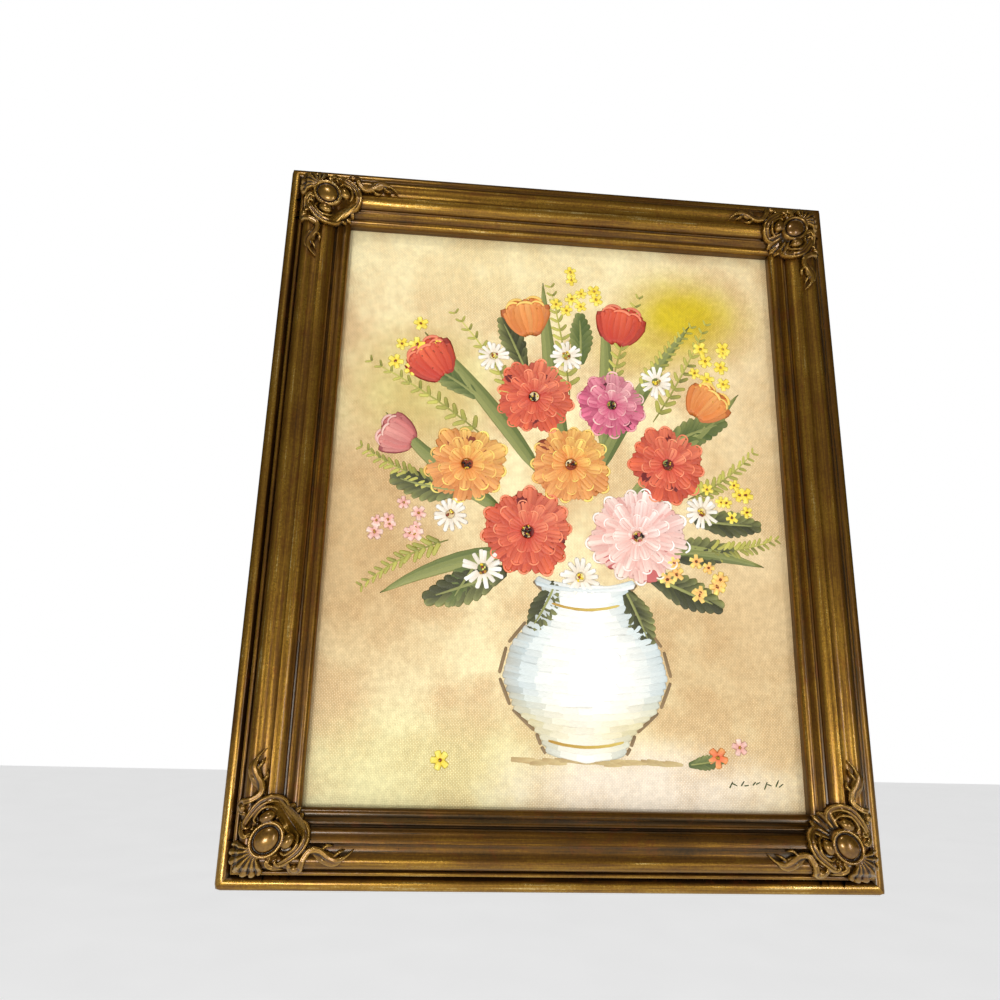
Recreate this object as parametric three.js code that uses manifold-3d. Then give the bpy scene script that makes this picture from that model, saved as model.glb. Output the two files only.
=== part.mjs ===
// A framed oil painting, to hang on a wall: four lengths of one gilded moulding mitred at the corners,
// a cast ornament laid over each mitre, and a canvas board in the rabbet behind the sight lip.
// Millimetres, +Z up. The picture faces -Y and the backs of the rails lie in the plane Y = 0.
// The origin is on the back of the top rail, halfway along it, where the frame hangs.

import * as THREE from 'three';
import { mergeVertices } from 'three/addons/utils/BufferGeometryUtils.js';
import Module from 'manifold-3d';

const wasm = await Module();
wasm.setup();

// ---------------------------------------------------------------- driving dimensions

const INCH = 25.4;
const BOARD_WIDTH = 8 * INCH;
const BOARD_HEIGHT = 10 * INCH;
const BOARD_THICKNESS = 3.2;
const SIGHT_WIDTH = 7.5 * INCH;
const SIGHT_HEIGHT = 9.5 * INCH;
const MOULDING_WIDTH = 1.125 * INCH;
const FRAME_WIDTH = SIGHT_WIDTH + 2 * MOULDING_WIDTH;
const FRAME_HEIGHT = SIGHT_HEIGHT + 2 * MOULDING_WIDTH;

// The gap kept between two pieces that touch.
const JOINT_GAP = 0.3;
const RABBET_DEPTH = 11.5;
const RABBET_WALL = (FRAME_WIDTH - BOARD_WIDTH) / 2 - JOINT_GAP;

// The moulding's members, each at u inward from the outer edge and v forward from the back.
const FOOT_INSET = 0.8;
const OUTER_BEAD = { u: 2.7, v: 11.9, radius: 2.7 };
const GROOVE = { u: 5.3, v: 12.0 };
const OUTER_FILLET = { u: 7.0, v: 17.6, radius: 0.9 };
const TORUS_FOOT = { u: 8.2, v: 18.0 };
const TORUS_CREST = { u: 11.4, v: 22.0 };
const COVE = { u: 14.8, v: 21.2 };
const RIDGE = { u: 17.4, v: 21.9 };
const SLOPE_FOOT = { u: 22.4, v: 18.7 };
const INNER_FILLET = { u: 23.6, v: 18.35, radius: 0.7 };
const SIGHT_COVE = { u: 25.6, v: 17.0 };
const NOSE_RADIUS = 2.1;
const NOSE = { u: MOULDING_WIDTH - NOSE_RADIUS, v: 14.8, radius: NOSE_RADIUS };
const LIP_INSET = 0.4;

// The corner ornament. Its cabochon is as far from both outer edges, and each half of the ornament
// runs along one rail.
const CENTRE = 18.4;
const BOSS = { along: 6.9, across: 5.7, foot: 19.5, shoulder: 22.7, crest: 24.2, valley: 23.1, gem: 25.2 };
const BOSS_SIDES = 18;
const SHELL = { centre: 15.0, ribs: 7, spread: 67, reach: 10.4, shortest: 7.9, notch: 1.3, rise: 1.3 };
const PALMETTE = { centre: CENTRE, ribs: 5, spread: 25, reach: 13.9, shortest: 12.8, notch: 1.4, rise: 1.2 };
const PLATE_RISE = 0.5;
const FINEST_EDGE = 0.3;

// ---------------------------------------------------------------- the moulding's profile

const point = (u, v) => ({ u, v });

// Points on an arc of a circle, angles in degrees from +u towards +v.
function arc({ u, v, radius }, from, to, segments) {
  return Array.from({ length: segments + 1 }, (_, i) => {
    const angle = THREE.MathUtils.degToRad(THREE.MathUtils.lerp(from, to, i / segments));
    return point(u + radius * Math.cos(angle), v + radius * Math.sin(angle));
  });
}

// Points from a to b on a quarter of an ellipse: level at the crest, upright at the other end.
function quarter(a, b, crestFirst, segments) {
  return Array.from({ length: segments + 1 }, (_, i) => {
    const angle = (i / segments) * Math.PI / 2;
    const [du, dv] = crestFirst
      ? [Math.sin(angle), 1 - Math.cos(angle)]
      : [1 - Math.cos(angle), Math.sin(angle)];
    return point(a.u + (b.u - a.u) * du, a.v + (b.v - a.v) * dv);
  });
}

// Points from a to b on a smooth S, level at both ends.
function sweepLine(a, b, segments) {
  return Array.from({ length: segments + 1 }, (_, i) => {
    const t = i / segments;
    return point(THREE.MathUtils.lerp(a.u, b.u, t), THREE.MathUtils.lerp(a.v, b.v, t * t * (3 - 2 * t)));
  });
}

// The front of the moulding from the outer edge to the sight edge, always inward in u.
const front = [
  ...arc(OUTER_BEAD, 180, 10, 8),
  GROOVE,
  ...arc(OUTER_FILLET, 180, 20, 4),
  ...quarter(TORUS_FOOT, TORUS_CREST, false, 5),
  ...sweepLine(TORUS_CREST, COVE, 3).slice(1),
  ...quarter(RIDGE, COVE, false, 2).reverse().slice(1),
  ...quarter(RIDGE, SLOPE_FOOT, true, 4).slice(1),
  ...arc(INNER_FILLET, 160, 20, 3),
  SIGHT_COVE,
  ...arc(NOSE, 90, 0, 5),
];

const profile = [
  point(FOOT_INSET, 0),
  ...front,
  point(MOULDING_WIDTH - LIP_INSET, RABBET_DEPTH),
  point(RABBET_WALL, RABBET_DEPTH),
  point(RABBET_WALL, 0),
];

// ---------------------------------------------------------------- solids

// A bar of the given profile, centred on X, its outer edge on Z = 0 and both ends cut at 45 degrees.
function mitredBar(points, length, setback) {
  const shape = new THREE.Shape(points.map((p) => new THREE.Vector2(p.u, p.v)));
  const geometry = new THREE.ExtrudeGeometry(shape, { depth: 1, steps: 1, bevelEnabled: false });
  const place = geometry.attributes.position;
  for (let i = 0; i < place.count; i += 1) {
    const [u, v] = [place.getX(i), place.getY(i)];
    const end = place.getZ(i) > 0.5 ? 1 : -1;
    place.setXYZ(i, end * (length / 2 - u - setback), -v, -u);
  }
  return faceOutwards(geometry);
}

// Merges shared corners, and turns every face over if the solid is inside out.
function faceOutwards(geometry) {
  const bare = geometry.clone();
  bare.deleteAttribute('normal');
  bare.deleteAttribute('uv');
  const merged = mergeVertices(bare, 1e-4);
  const [a, b, c] = [new THREE.Vector3(), new THREE.Vector3(), new THREE.Vector3()];
  const index = merged.index;
  let volume = 0;
  for (let i = 0; i < index.count; i += 3) {
    [a, b, c].forEach((corner, k) => corner.fromBufferAttribute(merged.attributes.position, index.getX(i + k)));
    volume += a.dot(b.cross(c));
  }
  if (volume < 0) {
    for (let i = 0; i < index.count; i += 3) {
      const first = index.getX(i);
      index.setX(i, index.getX(i + 1));
      index.setX(i + 1, first);
    }
  }
  return merged;
}

function toManifold(geometry) {
  const solid = faceOutwards(geometry);
  const corners = [];
  const place = solid.attributes.position.array;
  for (let i = 0; i < solid.index.count; i += 3) {
    const face = [solid.index.getX(i), solid.index.getX(i + 1), solid.index.getX(i + 2)];
    if (new Set(face).size === 3) corners.push(...face);
  }
  return new wasm.Manifold(new wasm.Mesh({
    numProp: 3,
    vertProperties: new Float32Array(place),
    triVerts: new Uint32Array(corners),
  }));
}

// Draws together the ends of edges shorter than a limit, where that turns no face over, so that a cut
// leaves no slivers. places are corner points, and faces are triples of their numbers.
function closeShortEdges(places, faces, limit) {
  const around = places.map(() => new Set());
  faces.forEach((face, f) => face.forEach((corner) => around[corner].add(f)));
  const normal = (face, moved, to) => {
    const [a, b, c] = face.map((corner) => (corner === moved ? to : places[corner]));
    return b.clone().sub(a).cross(c.clone().sub(a));
  };
  const neighbours = (corner) => new Set([...around[corner]].flatMap((f) => faces[f]));
  const edges = faces.flatMap((face) => face.map((corner, k) => [corner, face[(k + 1) % 3]]));
  const short = edges.filter(([a, b]) => a < b && places[a].distanceTo(places[b]) < limit);
  short.sort(([a, b], [c, d]) => places[a].distanceTo(places[b]) - places[c].distanceTo(places[d]));
  for (const [kept, gone] of short) {
    const shared = [...around[gone]].filter((f) => faces[f].includes(kept));
    const common = [...neighbours(kept)].filter((corner) => neighbours(gone).has(corner));
    const turned = [...around[gone]].filter((f) => !shared.includes(f)).some((f) => {
      const before = normal(faces[f]).normalize();
      return before.dot(normal(faces[f], gone, places[kept]).normalize()) < 0.8;
    });
    if (shared.length !== 2 || common.length !== 4 || turned) continue;
    around[gone].forEach((f) => {
      if (shared.includes(f)) {
        faces[f].forEach((corner) => around[corner].delete(f));
        faces[f] = [];
        return;
      }
      faces[f] = faces[f].map((corner) => (corner === gone ? kept : corner));
      around[kept].add(f);
    });
    around[gone] = new Set();
  }
  return faces.filter((face) => face.length === 3);
}

function fromManifold(solid) {
  const mesh = solid.getMesh();
  const places = [];
  for (let i = 0; i < mesh.vertProperties.length; i += 3) {
    places.push(new THREE.Vector3().fromArray(mesh.vertProperties, i));
  }
  let faces = [];
  for (let i = 0; i < mesh.triVerts.length; i += 3) faces.push([...mesh.triVerts.slice(i, i + 3)]);
  [1 / 3, 2 / 3, 1].forEach((share) => {
    faces = closeShortEdges(places, faces, share * FINEST_EDGE);
  });
  const geometry = new THREE.BufferGeometry().setFromPoints(places);
  geometry.setIndex(faces.flat());
  return faceOutwards(geometry.toNonIndexed());
}

// ---------------------------------------------------------------- the corner ornament

// The ornament is drawn at (a, b): how far in from the corner's two outer edges. It is symmetric in
// a and b. The ground it lies on clears the moulding by the gap and bridges its quirks.
const GROUND = [
  point(5.2, 17.7), point(6.4, 19.0), point(7.9, 19.5), point(9.2, 21.7), point(TORUS_CREST.u, 22.5),
  point(17.2, 22.5), point(19.6, 22.1), point(22.2, 20.6), point(24.2, 19.5), point(26.0, 17.9),
  point(28.3, 17.0),
];

function ground(a, b) {
  const u = THREE.MathUtils.clamp(Math.min(a, b), GROUND[0].u, GROUND.at(-1).u);
  const next = Math.max(1, GROUND.findIndex((p) => p.u >= u));
  const [p, q] = [GROUND[next - 1], GROUND[next]];
  return THREE.MathUtils.lerp(p.v, q.v, (u - p.u) / (q.u - p.u));
}

const inCorner = (a, b, v) => new THREE.Vector3(-a, -v, -b);
const onGround = ([a, b, lift]) => inCorner(a, b, ground(a, b) + lift);
const mirrored = (points) => points.map(([a, b, ...rest]) => [b, a, ...rest]);

// A tapering stroke along points on the ground. The widths are half widths at each point, and the
// stroke is flat times as high as it is wide. Its first side is a ridge on top.
function stroke(points, widths, { sides = 3, steps = 6, flat = 1 } = {}) {
  const curve = new THREE.CatmullRomCurve3(points.map(onGround), false, 'centripetal');
  const geometry = new THREE.CylinderGeometry(1, 1, 1, sides, steps);
  const place = geometry.attributes.position;
  const forward = new THREE.Vector3(0, -1, 0);
  for (let i = 0; i < place.count; i += 1) {
    const t = place.getY(i) + 0.5;
    const slot = Math.min(t * (widths.length - 1), widths.length - 1 - 1e-6);
    const width = THREE.MathUtils.lerp(widths[Math.floor(slot)], widths[Math.floor(slot) + 1], slot % 1);
    const tangent = curve.getTangent(t);
    const side = new THREE.Vector3().crossVectors(tangent, forward).normalize();
    const up = new THREE.Vector3().crossVectors(side, tangent).normalize();
    const centre = curve.getPoint(t);
    centre.addScaledVector(side, place.getX(i) * width);
    centre.addScaledVector(up, place.getZ(i) * width * flat);
    place.setXYZ(i, centre.x, centre.y, centre.z);
  }
  return geometry;
}

// A round bulb on the ground.
function bulb(at, [alongA, alongB, rise], [sides, rings]) {
  const geometry = new THREE.SphereGeometry(1, sides, rings);
  geometry.scale(alongA, rise, alongB);
  const middle = onGround(at);
  return geometry.translate(middle.x, middle.y, middle.z);
}

// The tips of a fan of ribs from its middle rib to its side, with the notches between them: the
// shell opens outwards, the palmette towards the sight corner. Each tip is [a, b, rise].
function fanTips({ centre, ribs, spread, reach, shortest, notch, rise }, outwards) {
  const turn = outwards ? 180 : 0;
  return Array.from({ length: ribs }, (_, i) => {
    const angle = THREE.MathUtils.degToRad(45 + turn + (outwards ? 1 : -1) * spread * i / (ribs - 1));
    const between = i % 2;
    const length = THREE.MathUtils.lerp(reach, shortest, i / (ribs - 1)) - between * notch;
    return [centre + length * Math.cos(angle), centre + length * Math.sin(angle), between ? 0.2 : rise];
  });
}

// The plate under the scrolls, ribbed where it ends in the shell and in the palmette. It is drawn in
// spokes from the cabochon, and its underside is cut to the moulding afterwards.
function plate() {
  const behindScrolls = [[22.4, 9.2, 0], [27.0, 11.6, 0], [30.6, 15.4, 0], [31.6, 19.8, 0]];
  const half = [...fanTips(SHELL, true), ...behindScrolls, ...fanTips(PALMETTE, false).reverse()];
  const tips = [...half, ...mirrored(half.slice(1, -1)).reverse()];
  const outwards = [0, 0.35, 0.6, 0.82, 1, 1, 0];
  const rises = [0, 0.1, 1, 0.9, 0.3, 0, 0];
  const rows = outwards.length - 1;
  const geometry = new THREE.SphereGeometry(1, tips.length, rows);
  const place = geometry.attributes.position;
  for (let i = 0; i < place.count; i += 1) {
    const row = Math.floor(i / (tips.length + 1));
    const [tipA, tipB, rise] = tips[(i % (tips.length + 1)) % tips.length];
    const a = THREE.MathUtils.lerp(CENTRE, tipA, outwards[row]);
    const b = THREE.MathUtils.lerp(CENTRE, tipB, outwards[row]);
    const top = ground(a, b) + PLATE_RISE + rise * rises[row];
    const at = inCorner(a, b, row > rows - 2 ? RABBET_DEPTH : top);
    place.setXYZ(i, at.x, at.y, at.z);
  }
  return geometry;
}

// The cabochon in its raised ring, turned from one profile and drawn out along the diagonal.
function cabochon() {
  const turned = [
    [0, BOSS.foot], [1, BOSS.foot], [0.93, BOSS.shoulder], [0.8, BOSS.crest], [0.66, BOSS.valley],
    [0.48, 0.35 * BOSS.valley + 0.65 * BOSS.gem], [0.22, BOSS.gem - 0.15], [0, BOSS.gem],
  ].map(([radius, height]) => new THREE.Vector2(radius, height));
  const geometry = new THREE.LatheGeometry(turned, BOSS_SIDES);
  geometry.scale(BOSS.along, -1, BOSS.across);
  geometry.rotateY(THREE.MathUtils.degToRad(-45));
  return geometry.translate(-CENTRE, 0, -CENTRE);
}

// One half of the relief, along the rail that runs in a. side() mirrors its points for the other half.
function halfRelief(side) {
  const draw = (points, widths, options) => stroke(side(points), widths, options);
  const set = ([a, b, lift, ...sizes], detail) => {
    const [at] = side([[a, b, lift]]);
    const [size] = side([sizes]);
    return bulb(at, size, detail);
  };
  return [
    // the cartouche: a C-scroll rim, its inner rim and the bulb it holds
    draw([[26.0, 24.0, 0.4], [30.2, 23.4, 0.6], [32.0, 19.8, 0.7], [30.2, 15.2, 0.6], [25.4, 11.4, 0.5],
      [20.8, 9.4, 0.3]], [0.8, 1.5, 1.6, 1.5, 1.2, 0.6], { sides: 4, steps: 11 }),
    draw([[26.4, 22.0, 0.5], [29.0, 20.0, 0.7], [28.6, 16.4, 0.6], [25.2, 13.8, 0.5]],
      [0.7, 1.1, 1.1, 0.5], { steps: 6 }),
    set([25.8, 18.0, 0.4, 2.3, 2.9, 1.7], [8, 6]),
    // the leaf spray between the shell and the tail
    draw([[20.2, 12.8, 0.5], [19.2, 10.6, 0.6], [21.2, 9.2, 0.5], [24.4, 8.4, 0.3]],
      [0.7, 1.3, 1.2, 0.3], { steps: 5 }),
    // the acanthus tail: its stem springs from a curl, and two lobes run out to one pointed tip
    set([28.8, 9.2, 0.2, 1.8, 1.6, 1.6], [7, 5]),
    draw([[26.4, 11.2, 0.4], [27.4, 8.0, 0.6], [30.6, 8.8, 0.6], [31.6, 12.2, 0.3], [34.0, 15.2, 0.4],
      [38.0, 14.8, 0.4]], [0.8, 1.2, 1.4, 1.6, 1.8, 1.5], { steps: 10 }),
    draw([[33.6, 15.4, 0.1], [38.2, 13.6, 0.3], [41.6, 12.0, 0.3], [45.2, 12.2, 0.3], [48.6, 15.2, 0.1]],
      [1.6, 2.5, 2.3, 1.7, 0.3], { sides: 4, steps: 8, flat: 0.65 }),
    draw([[35.4, 15.2, 0.1], [39.0, 16.8, 0.4], [42.2, 16.5, 0.3], [44.8, 13.8, 0.1]],
      [1.2, 2.0, 1.7, 0.4], { steps: 5, flat: 0.75 }),
  ];
}

function cornerOrnament() {
  const pieces = [plate(), cabochon(), ...halfRelief((points) => points), ...halfRelief(mirrored)];
  const relief = pieces.map(toManifold).reduce((whole, piece) => whole.add(piece));
  const seat = seats().map(toManifold).reduce((whole, piece) => whole.add(piece));
  return fromManifold(relief.subtract(seat));
}

// Two legs as wide as the moulding and as high as the ground, mitred at the origin. What lies in them
// is cut from the ornament.
function seats() {
  const length = FRAME_WIDTH;
  const edge = MOULDING_WIDTH + JOINT_GAP;
  const points = [point(GROUND[0].u, 0), ...GROUND, point(edge, GROUND.at(-1).v), point(edge, 0)];
  const bar = mitredBar(points, length, 0);
  return [
    bar.clone().translate(-length / 2, 0, 0),
    bar.clone().rotateY(Math.PI / 2).translate(0, 0, -length / 2),
  ];
}

// ---------------------------------------------------------------- the object

const gilding = new THREE.MeshStandardMaterial({ color: 0x8a6a2a, roughness: 0.42, metalness: 0.85 });
const castGilding = new THREE.MeshStandardMaterial({ color: 0xa8874a, roughness: 0.34, metalness: 0.9 });
const canvas = new THREE.MeshStandardMaterial({ color: 0xe2cfa4, roughness: 0.75, metalness: 0 });

const painting = new THREE.Group();

function addMesh(parent, name, geometry, material) {
  const mesh = new THREE.Mesh(geometry, material);
  mesh.name = name;
  parent.add(mesh);
  return mesh;
}

// The frame turns about its own centre, which hangs below the origin.
const backMiddle = (FOOT_INSET + RABBET_WALL) / 2;
const frame = new THREE.Group();
frame.position.z = backMiddle - FRAME_HEIGHT / 2;
painting.add(frame);

const MITRE_SETBACK = (JOINT_GAP / 2) * Math.SQRT2;
const rails = [
  { name: 'rail_top', length: FRAME_WIDTH, out: FRAME_HEIGHT / 2 },
  { name: 'rail_right', length: FRAME_HEIGHT, out: FRAME_WIDTH / 2 },
  { name: 'rail_bottom', length: FRAME_WIDTH, out: FRAME_HEIGHT / 2 },
  { name: 'rail_left', length: FRAME_HEIGHT, out: FRAME_WIDTH / 2 },
];
rails.forEach(({ name, length, out }, i) => {
  const rail = addMesh(frame, name, mitredBar(profile, length, MITRE_SETBACK), gilding);
  rail.rotation.y = i * Math.PI / 2;
  rail.position.set(Math.sin(rail.rotation.y) * out, 0, Math.cos(rail.rotation.y) * out);
});

const corners = ['top_right', 'bottom_right', 'bottom_left', 'top_left'];
const ornament = cornerOrnament();
corners.forEach((corner, i) => {
  const mesh = addMesh(frame, `corner_ornament_${corner}`, ornament, castGilding);
  const right = corner.endsWith('right') ? 1 : -1;
  const top = corner.startsWith('top') ? 1 : -1;
  mesh.rotation.y = i * Math.PI / 2;
  mesh.position.set(right * FRAME_WIDTH / 2, 0, top * FRAME_HEIGHT / 2);
});

const board = new THREE.BoxGeometry(BOARD_WIDTH, BOARD_THICKNESS, BOARD_HEIGHT);
board.translate(0, BOARD_THICKNESS / 2 + JOINT_GAP - RABBET_DEPTH, 0);
addMesh(frame, 'canvas_board', board, canvas);

export default painting;
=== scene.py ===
# %% [markdown]
# # A framed oil painting
#
# The object is a small flower painting on a canvas board, held in a gilded moulding frame. Four
# lengths of moulding meet in mitres, and a cast ornament covers each corner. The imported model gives
# the true sizes and places. Here every piece gets its fine shape and its finish: old gold rubbed over
# brown, brushed along the wood and worn on the high members, and oil paint on a woven ground.

import math
import random

import bmesh
import bpy
import numpy as np
from mathutils import Matrix, Vector


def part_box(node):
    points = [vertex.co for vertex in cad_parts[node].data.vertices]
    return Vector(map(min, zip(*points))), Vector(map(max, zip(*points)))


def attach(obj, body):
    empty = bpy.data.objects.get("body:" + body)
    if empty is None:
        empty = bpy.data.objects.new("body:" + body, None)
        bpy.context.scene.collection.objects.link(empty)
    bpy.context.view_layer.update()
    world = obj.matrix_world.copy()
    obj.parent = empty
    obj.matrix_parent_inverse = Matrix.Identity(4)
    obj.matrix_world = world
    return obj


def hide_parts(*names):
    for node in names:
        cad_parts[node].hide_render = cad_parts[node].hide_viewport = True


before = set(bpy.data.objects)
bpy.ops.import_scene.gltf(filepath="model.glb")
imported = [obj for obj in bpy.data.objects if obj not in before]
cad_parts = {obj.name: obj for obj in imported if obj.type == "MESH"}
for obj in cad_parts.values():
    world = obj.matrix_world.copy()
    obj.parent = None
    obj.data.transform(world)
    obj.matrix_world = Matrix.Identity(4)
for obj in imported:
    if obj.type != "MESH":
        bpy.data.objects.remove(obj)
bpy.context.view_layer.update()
print("nodes", sorted(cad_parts))

# %% [markdown]
# ## Sizes
#
# Every place comes from the frame: the whole box gives the outer size and the board's node gives the
# canvas. Only the moulding's own members are named here, as a joiner would name them on a knife
# drawing: each at u, inward from the outer edge, and v, forward from the back. Values are in
# millimetres, and MM turns them into Blender's metres.

# %% Sizes of the whole
MM = 0.001
INCH = 25.4

rail_low, rail_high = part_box("rail_left")
top_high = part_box("rail_top")[1]
bottom_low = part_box("rail_bottom")[0]
board_low, board_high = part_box("canvas_board")

OUTER_WIDTH = -2 * rail_low.x / MM
OUTER_HEIGHT = (top_high.z - bottom_low.z) / MM
CENTRE_Z = (top_high.z + bottom_low.z) / 2 / MM
MOULDING_WIDTH = (rail_high.x - rail_low.x) / MM
SIGHT_WIDTH = OUTER_WIDTH - 2 * MOULDING_WIDTH
SIGHT_HEIGHT = OUTER_HEIGHT - 2 * MOULDING_WIDTH
BOARD_FRONT = -board_low.y / MM
RABBET_DEPTH = 11.5
RABBET_WALL = MOULDING_WIDTH - (INCH / 4 + 0.3)
print(f"outside {OUTER_WIDTH:.1f} x {OUTER_HEIGHT:.1f} mm, sight {SIGHT_WIDTH:.1f} x {SIGHT_HEIGHT:.1f} mm")

# %% [markdown]
# ## The moulding's profile
#
# A moulding is a row of classic members: an outer bead, a deep groove, a fillet, a torus, a shallow
# cove up to a sharp ridge, a slope, an inner fillet, and a rounded nose at the sight edge. Each round
# member is an arc with named sizes, so that the profile stays editable. More points per arc than the
# solid model has make the highlights run smoothly.

# %% The profile, from members
OUTER_BEAD = (2.7, 11.9, 2.7)
GROOVE = (5.3, 12.0)
OUTER_FILLET = (7.0, 17.6, 0.9)
TORUS_FOOT = (8.2, 18.0)
TORUS_CREST = (11.4, 22.0)
COVE = (14.8, 21.2)
RIDGE = (17.4, 21.9)
SLOPE_FOOT = (22.4, 18.7)
INNER_FILLET = (23.6, 18.35, 0.7)
SIGHT_COVE = (25.6, 17.0)
NOSE_RADIUS = 2.1
NOSE = (MOULDING_WIDTH - NOSE_RADIUS, 14.8, NOSE_RADIUS)
FOOT_INSET = 0.8
LIP_INSET = 0.4


def arc(member, start, end, steps):
    """Points on a round member, angles in degrees from +u towards +v."""
    u, v, radius = member
    angles = [math.radians(start + (end - start) * i / steps) for i in range(steps + 1)]
    return [(u + radius * math.cos(a), v + radius * math.sin(a)) for a in angles]


def quarter(a, b, steps, level_first):
    """Points on a quarter ellipse from a to b, level at one end and upright at the other."""
    points = []
    for i in range(steps + 1):
        angle = i / steps * math.pi / 2
        du, dv = math.sin(angle), 1 - math.cos(angle)
        if not level_first:
            du, dv = 1 - math.cos(angle), math.sin(angle)
        points.append((a[0] + (b[0] - a[0]) * du, a[1] + (b[1] - a[1]) * dv))
    return points


def s_line(a, b, steps):
    """Points on a smooth S from a to b, level at both ends."""
    ease = [i / steps for i in range(steps + 1)]
    return [(a[0] + (b[0] - a[0]) * t, a[1] + (b[1] - a[1]) * t * t * (3 - 2 * t)) for t in ease]


FRONT = (
    arc(OUTER_BEAD, 180, 4, 16)
    + [GROOVE]
    + arc(OUTER_FILLET, 180, 12, 10)
    + quarter(TORUS_FOOT, TORUS_CREST, 12, level_first=False)
    + s_line(TORUS_CREST, COVE, 8)[1:]
    + quarter(RIDGE, COVE, 6, level_first=False)[-2::-1]
    + quarter(RIDGE, SLOPE_FOOT, 10, level_first=True)[1:]
    + arc(INNER_FILLET, 168, 12, 8)
    + [SIGHT_COVE]
    + arc(NOSE, 100, 0, 12)
)
HIDDEN_SIDE = [
    (MOULDING_WIDTH - LIP_INSET, RABBET_DEPTH),
    (RABBET_WALL, RABBET_DEPTH),
    (RABBET_WALL, 0),
    (FOOT_INSET, 0),
]
print(len(FRONT), "points across the front of the moulding")

# %% How hollow each point of the front lies
HOLLOW_REACH = 2.2
HOLLOW_FULL = 2.4
FRONT_U = [p[0] for p in FRONT]
FRONT_V = [p[1] for p in FRONT]


def front_height(u):
    """Height of the moulding's front at u, a number or an array."""
    return np.interp(u, FRONT_U, FRONT_V)


def hollow_of(u, v):
    """0 on the high members and 1 down in the grooves, from the height of what stands near."""
    near = front_height(u + np.linspace(-HOLLOW_REACH, HOLLOW_REACH, 9))
    return float(np.clip((near.mean() * 0.5 + near.max() * 0.5 - v) / HOLLOW_FULL, 0, 1))


print("hollow at the groove", round(hollow_of(*GROOVE), 2), "at the crest", round(hollow_of(*TORUS_CREST), 2))

# %% [markdown]
# ## Rails
#
# A joiner runs the moulding through a cutter in one long stick and saws the mitres afterwards. The
# bmesh does the same: the profile is one flat face, extruded again and again along the stick, and
# then two planes saw the ends at 45 degrees. Three numbers ride along on every vertex, so that the
# finish can follow the wood: how far along the stick it is, how far across, and how much glaze it
# takes, more down in the hollows. They are stored before the extrusion, and each new slice inherits
# them. Later the glaze value also takes painted shade, on the members that face away from the light
# and round each ornament.

# %% Run and saw the moulding
STICK_STEP = 3.0
MITRE_GAP = 0.06
SAW_SPARE = 1.0
CORNER_ROUND = 2.4
SHARP_EDGE = math.radians(32)
RAILS = {
    "rail_top": (0, OUTER_WIDTH),
    "rail_right": (90, OUTER_HEIGHT),
    "rail_bottom": (180, OUTER_WIDTH),
    "rail_left": (270, OUTER_HEIGHT),
}
# Painted shade on each rail: extra darkness for the members that face away from the light, the outer ones
# (first number) and the inner ones (second number), added to the glaze value.
PAINTED_SHADE_BY_RAIL = {
    "rail_top": (0.25, 0.0),
    "rail_right": (0.3, 0.05),
    "rail_bottom": (0.0, 0.45),
    "rail_left": (0.05, 0.1),
}


def saw(bm, point, normal):
    """Cut everything beyond a plane away and close the cut."""
    geometry = bm.verts[:] + bm.edges[:] + bm.faces[:]
    cut = bmesh.ops.bisect_plane(
        bm, geom=geometry, dist=1e-7, plane_co=point, plane_no=normal, clear_outer=True
    )
    edges = [item for item in cut["geom_cut"] if isinstance(item, bmesh.types.BMEdge)]
    bmesh.ops.holes_fill(bm, edges=edges, sides=0)


def round_corner(bm, length):
    """Sand the outer corners round: what lies outside an arc in plan is drawn in to it."""
    for vert in bm.verts:
        u, from_end = -vert.co.z / MM, length / 2 - abs(vert.co.x) / MM
        if u < CORNER_ROUND and from_end < CORNER_ROUND:
            du, de = CORNER_ROUND - u, CORNER_ROUND - from_end
            far = math.hypot(du, de)
            if far > CORNER_ROUND:
                share = CORNER_ROUND / far
                vert.co.z = -(CORNER_ROUND - du * share) * MM
                vert.co.x = math.copysign((length / 2 - CORNER_ROUND + de * share) * MM, vert.co.x)


def run_moulding(length):
    """A mitred stick with its outer edge on X and its front towards -Y, as a bmesh in metres."""
    bm = bmesh.new()
    along = bm.verts.layers.float.new("along")
    across = bm.verts.layers.float.new("across")
    glaze_shade_and_highlight = bm.verts.layers.float.new("glaze_shade_and_highlight")
    start = -length / 2 - SAW_SPARE
    steps = math.ceil((length + 2 * SAW_SPARE) / STICK_STEP)
    step = (length + 2 * SAW_SPARE) / steps
    travelled = 0
    outline = FRONT + HIDDEN_SIDE
    corners = []
    for i, (u, v) in enumerate(outline):
        vert = bm.verts.new((start * MM, -v * MM, -u * MM))
        travelled += math.dist(outline[i - 1], (u, v)) if i else 0
        vert[along] = start
        vert[across] = travelled
        vert[glaze_shade_and_highlight] = hollow_of(u, v) if i < len(FRONT) else 0.6
        corners.append(vert)
    end = bm.faces.new(corners)
    for i in range(steps):
        grown = bmesh.ops.extrude_face_region(bm, geom=[end])["geom"]
        verts = [item for item in grown if isinstance(item, bmesh.types.BMVert)]
        end = next(item for item in grown if isinstance(item, bmesh.types.BMFace))
        bmesh.ops.translate(bm, verts=verts, vec=(step * MM, 0, 0))
        for vert in verts:
            vert[along] += step
    reach = (length / 2 - MITRE_GAP) * MM
    saw(bm, Vector((reach, 0, 0)), Vector((1, 0, -1)).normalized())
    saw(bm, Vector((-reach, 0, 0)), Vector((-1, 0, -1)).normalized())
    round_corner(bm, length)
    bmesh.ops.recalc_face_normals(bm, faces=bm.faces)
    return bm


def shade(bm):
    """Smooth faces with sharp edges only where the surface really breaks."""
    for face in bm.faces:
        face.smooth = True
    for edge in bm.edges:
        edge.smooth = edge.is_manifold and edge.calc_face_angle(0) < SHARP_EDGE


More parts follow.
